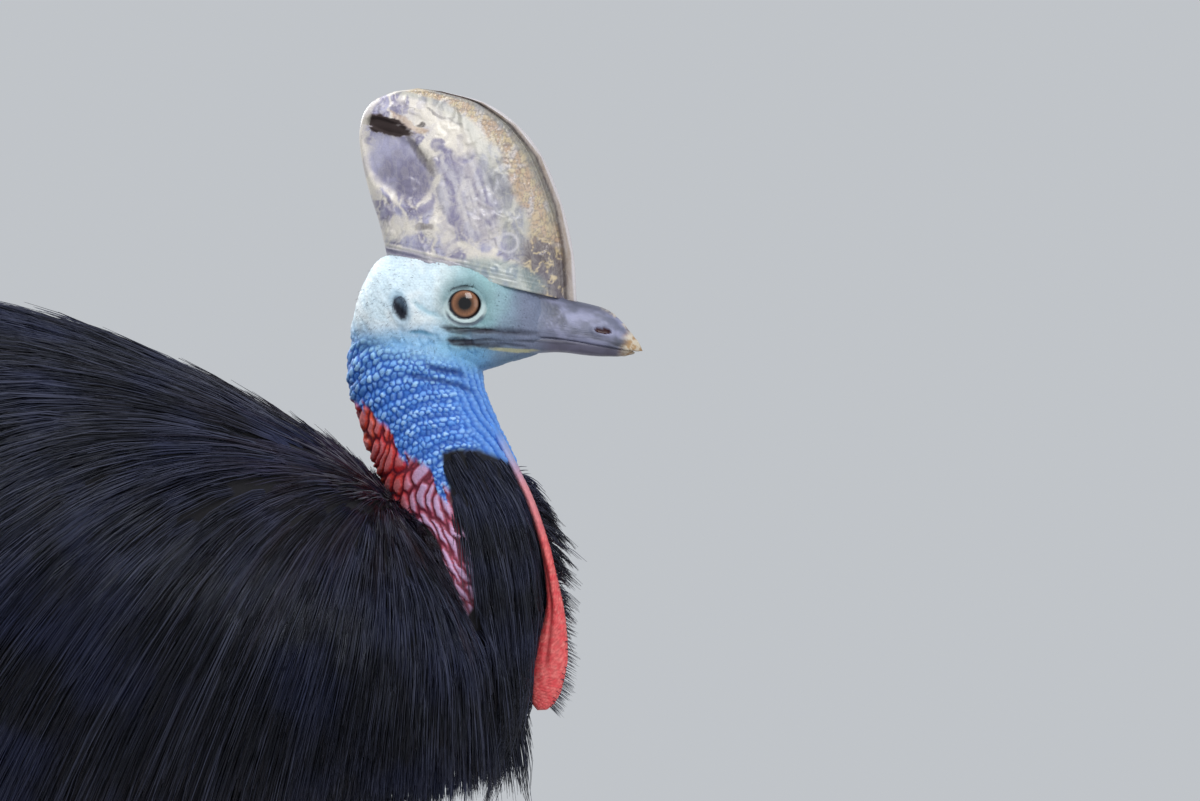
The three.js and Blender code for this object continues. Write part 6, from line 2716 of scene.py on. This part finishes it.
def build_claws(material: Material) -> None:
    """Make the six claws, each in the place of its node."""
    for side in Side:
        foot = Foot(side)
        for name in Foot.claws:
            item = make_object(f"claw_horn_{name}_{side.word}", [foot.claw(name)])
            p = points_of(item)
            root = np.linalg.norm(p - foot.toe_stations(name)[-1][:3], axis=1)
            dark = plain((0.028, 0.024, 0.02), p)
            paint(item, blend(dark, (0.09, 0.075, 0.055), fade(root, 4, 22)))
            dress(item, material, [f"claw_{name}_{side.word}"])


# Studio


@dataclass
class Studio:
    """Plain pale floor, soft lights and the camera at the photograph's angle."""

    picture_width: float = 912.0
    aim: tuple[float, float, float] = (478.6, 0.0, 891.7)
    away: float = 5200.0
    sensor: float = 36.0
    floor_radius: float = 3.0
    floor_sides: int = 96
    light_aim: tuple[float, float, float] = (0.1, 0.0, 0.75)

    def build(self) -> None:
        """Set up the floor, lights and camera."""
        self.floor()
        self.lights()
        self.camera()

    def floor(self) -> None:
        """A round pale floor."""
        mesh = bpy.data.meshes.new("floor")
        turns = 2 * math.pi * np.arange(self.floor_sides) / self.floor_sides
        rim = np.stack([np.cos(turns), np.sin(turns), np.zeros(self.floor_sides)], axis=1)
        mesh.from_pydata((rim * self.floor_radius).tolist(), [], [list(range(self.floor_sides))])
        mesh.materials.append(StudioFinish().build())
        item = add_to_scene("floor", mesh)

    def lights(self) -> None:
        """A high soft key from the camera's side, a broad light over the back and a rim from behind."""
        self.area("key", (1.5, -3.0, 3.2), 1.8, 72)
        self.area("top", (-0.8, 0.4, 3.4), 2.2, 62)
        self.area("rim", (-1.9, 2.5, 2.4), 1.4, 55)
        self.area("fill", (3.2, -1.8, 1.0), 2.0, 14)
        world = bpy.data.worlds.new("studio_air")
        bpy.context.scene.world = world
        world.use_nodes = True
        air = world.node_tree.nodes["Background"]
        air.inputs["Color"].default_value = (0.88, 0.92, 0.97, 1)
        air.inputs["Strength"].default_value = 0.6

    def area(self, name: str, at: tuple[float, float, float], size: float, power: float) -> None:
        """One square soft light aimed at the bird's chest.

        Args:
            name: The light's name.
            at: Where it hangs, in metres.
            size: The length of its side, in metres.
            power: Its power in watts.
        """
        light = bpy.data.lights.new(name, "AREA")
        light.size = size
        light.energy = power
        item = add_to_scene(name, light)
        item.location = at
        way = Vector(self.light_aim) - item.location
        item.rotation_euler = way.to_track_quat("-Z", "Y").to_euler()

    def camera(self) -> None:
        """A long lens, level with the head, square to the bird's right side."""
        lens = bpy.data.cameras.new("camera")
        lens.sensor_width = self.sensor
        lens.lens = self.sensor * self.away / self.picture_width
        lens.clip_end = 100
        item = add_to_scene("camera", lens)
        item.location = to_metres(np.array([self.aim[0], -self.away, self.aim[2]]))
        item.rotation_euler = (math.pi / 2, 0, 0)
        bpy.context.scene.camera = item


def main() -> None:
    """Set up the studio, then build the bird from the skin outwards."""
    Studio().build()
    skin = SkinFinish().build()
    feathers = PlumageFinish().build()
    body = Skin().build(skin)
    Casque().build(CasqueFinish().build())
    Bill().build(HornFinish("bill_horn", stretch=(0.6, 4.0, 4.0)).build())
    Eyes().build()
    Wattles().build(SkinFinish("wattle_skin", 0.9, 0.45).build(), feathers)
    FaceHairs().build(body, feathers)
    WingQuills().build(HornFinish("quill", roughness=0.3).build())
    build_claws(HornFinish("claw_horn", roughness=0.36).build())
    Plumage().build(feathers)
    bpy.context.scene.view_settings.view_transform = "Standard"


if __name__ == "__main__":
    main()
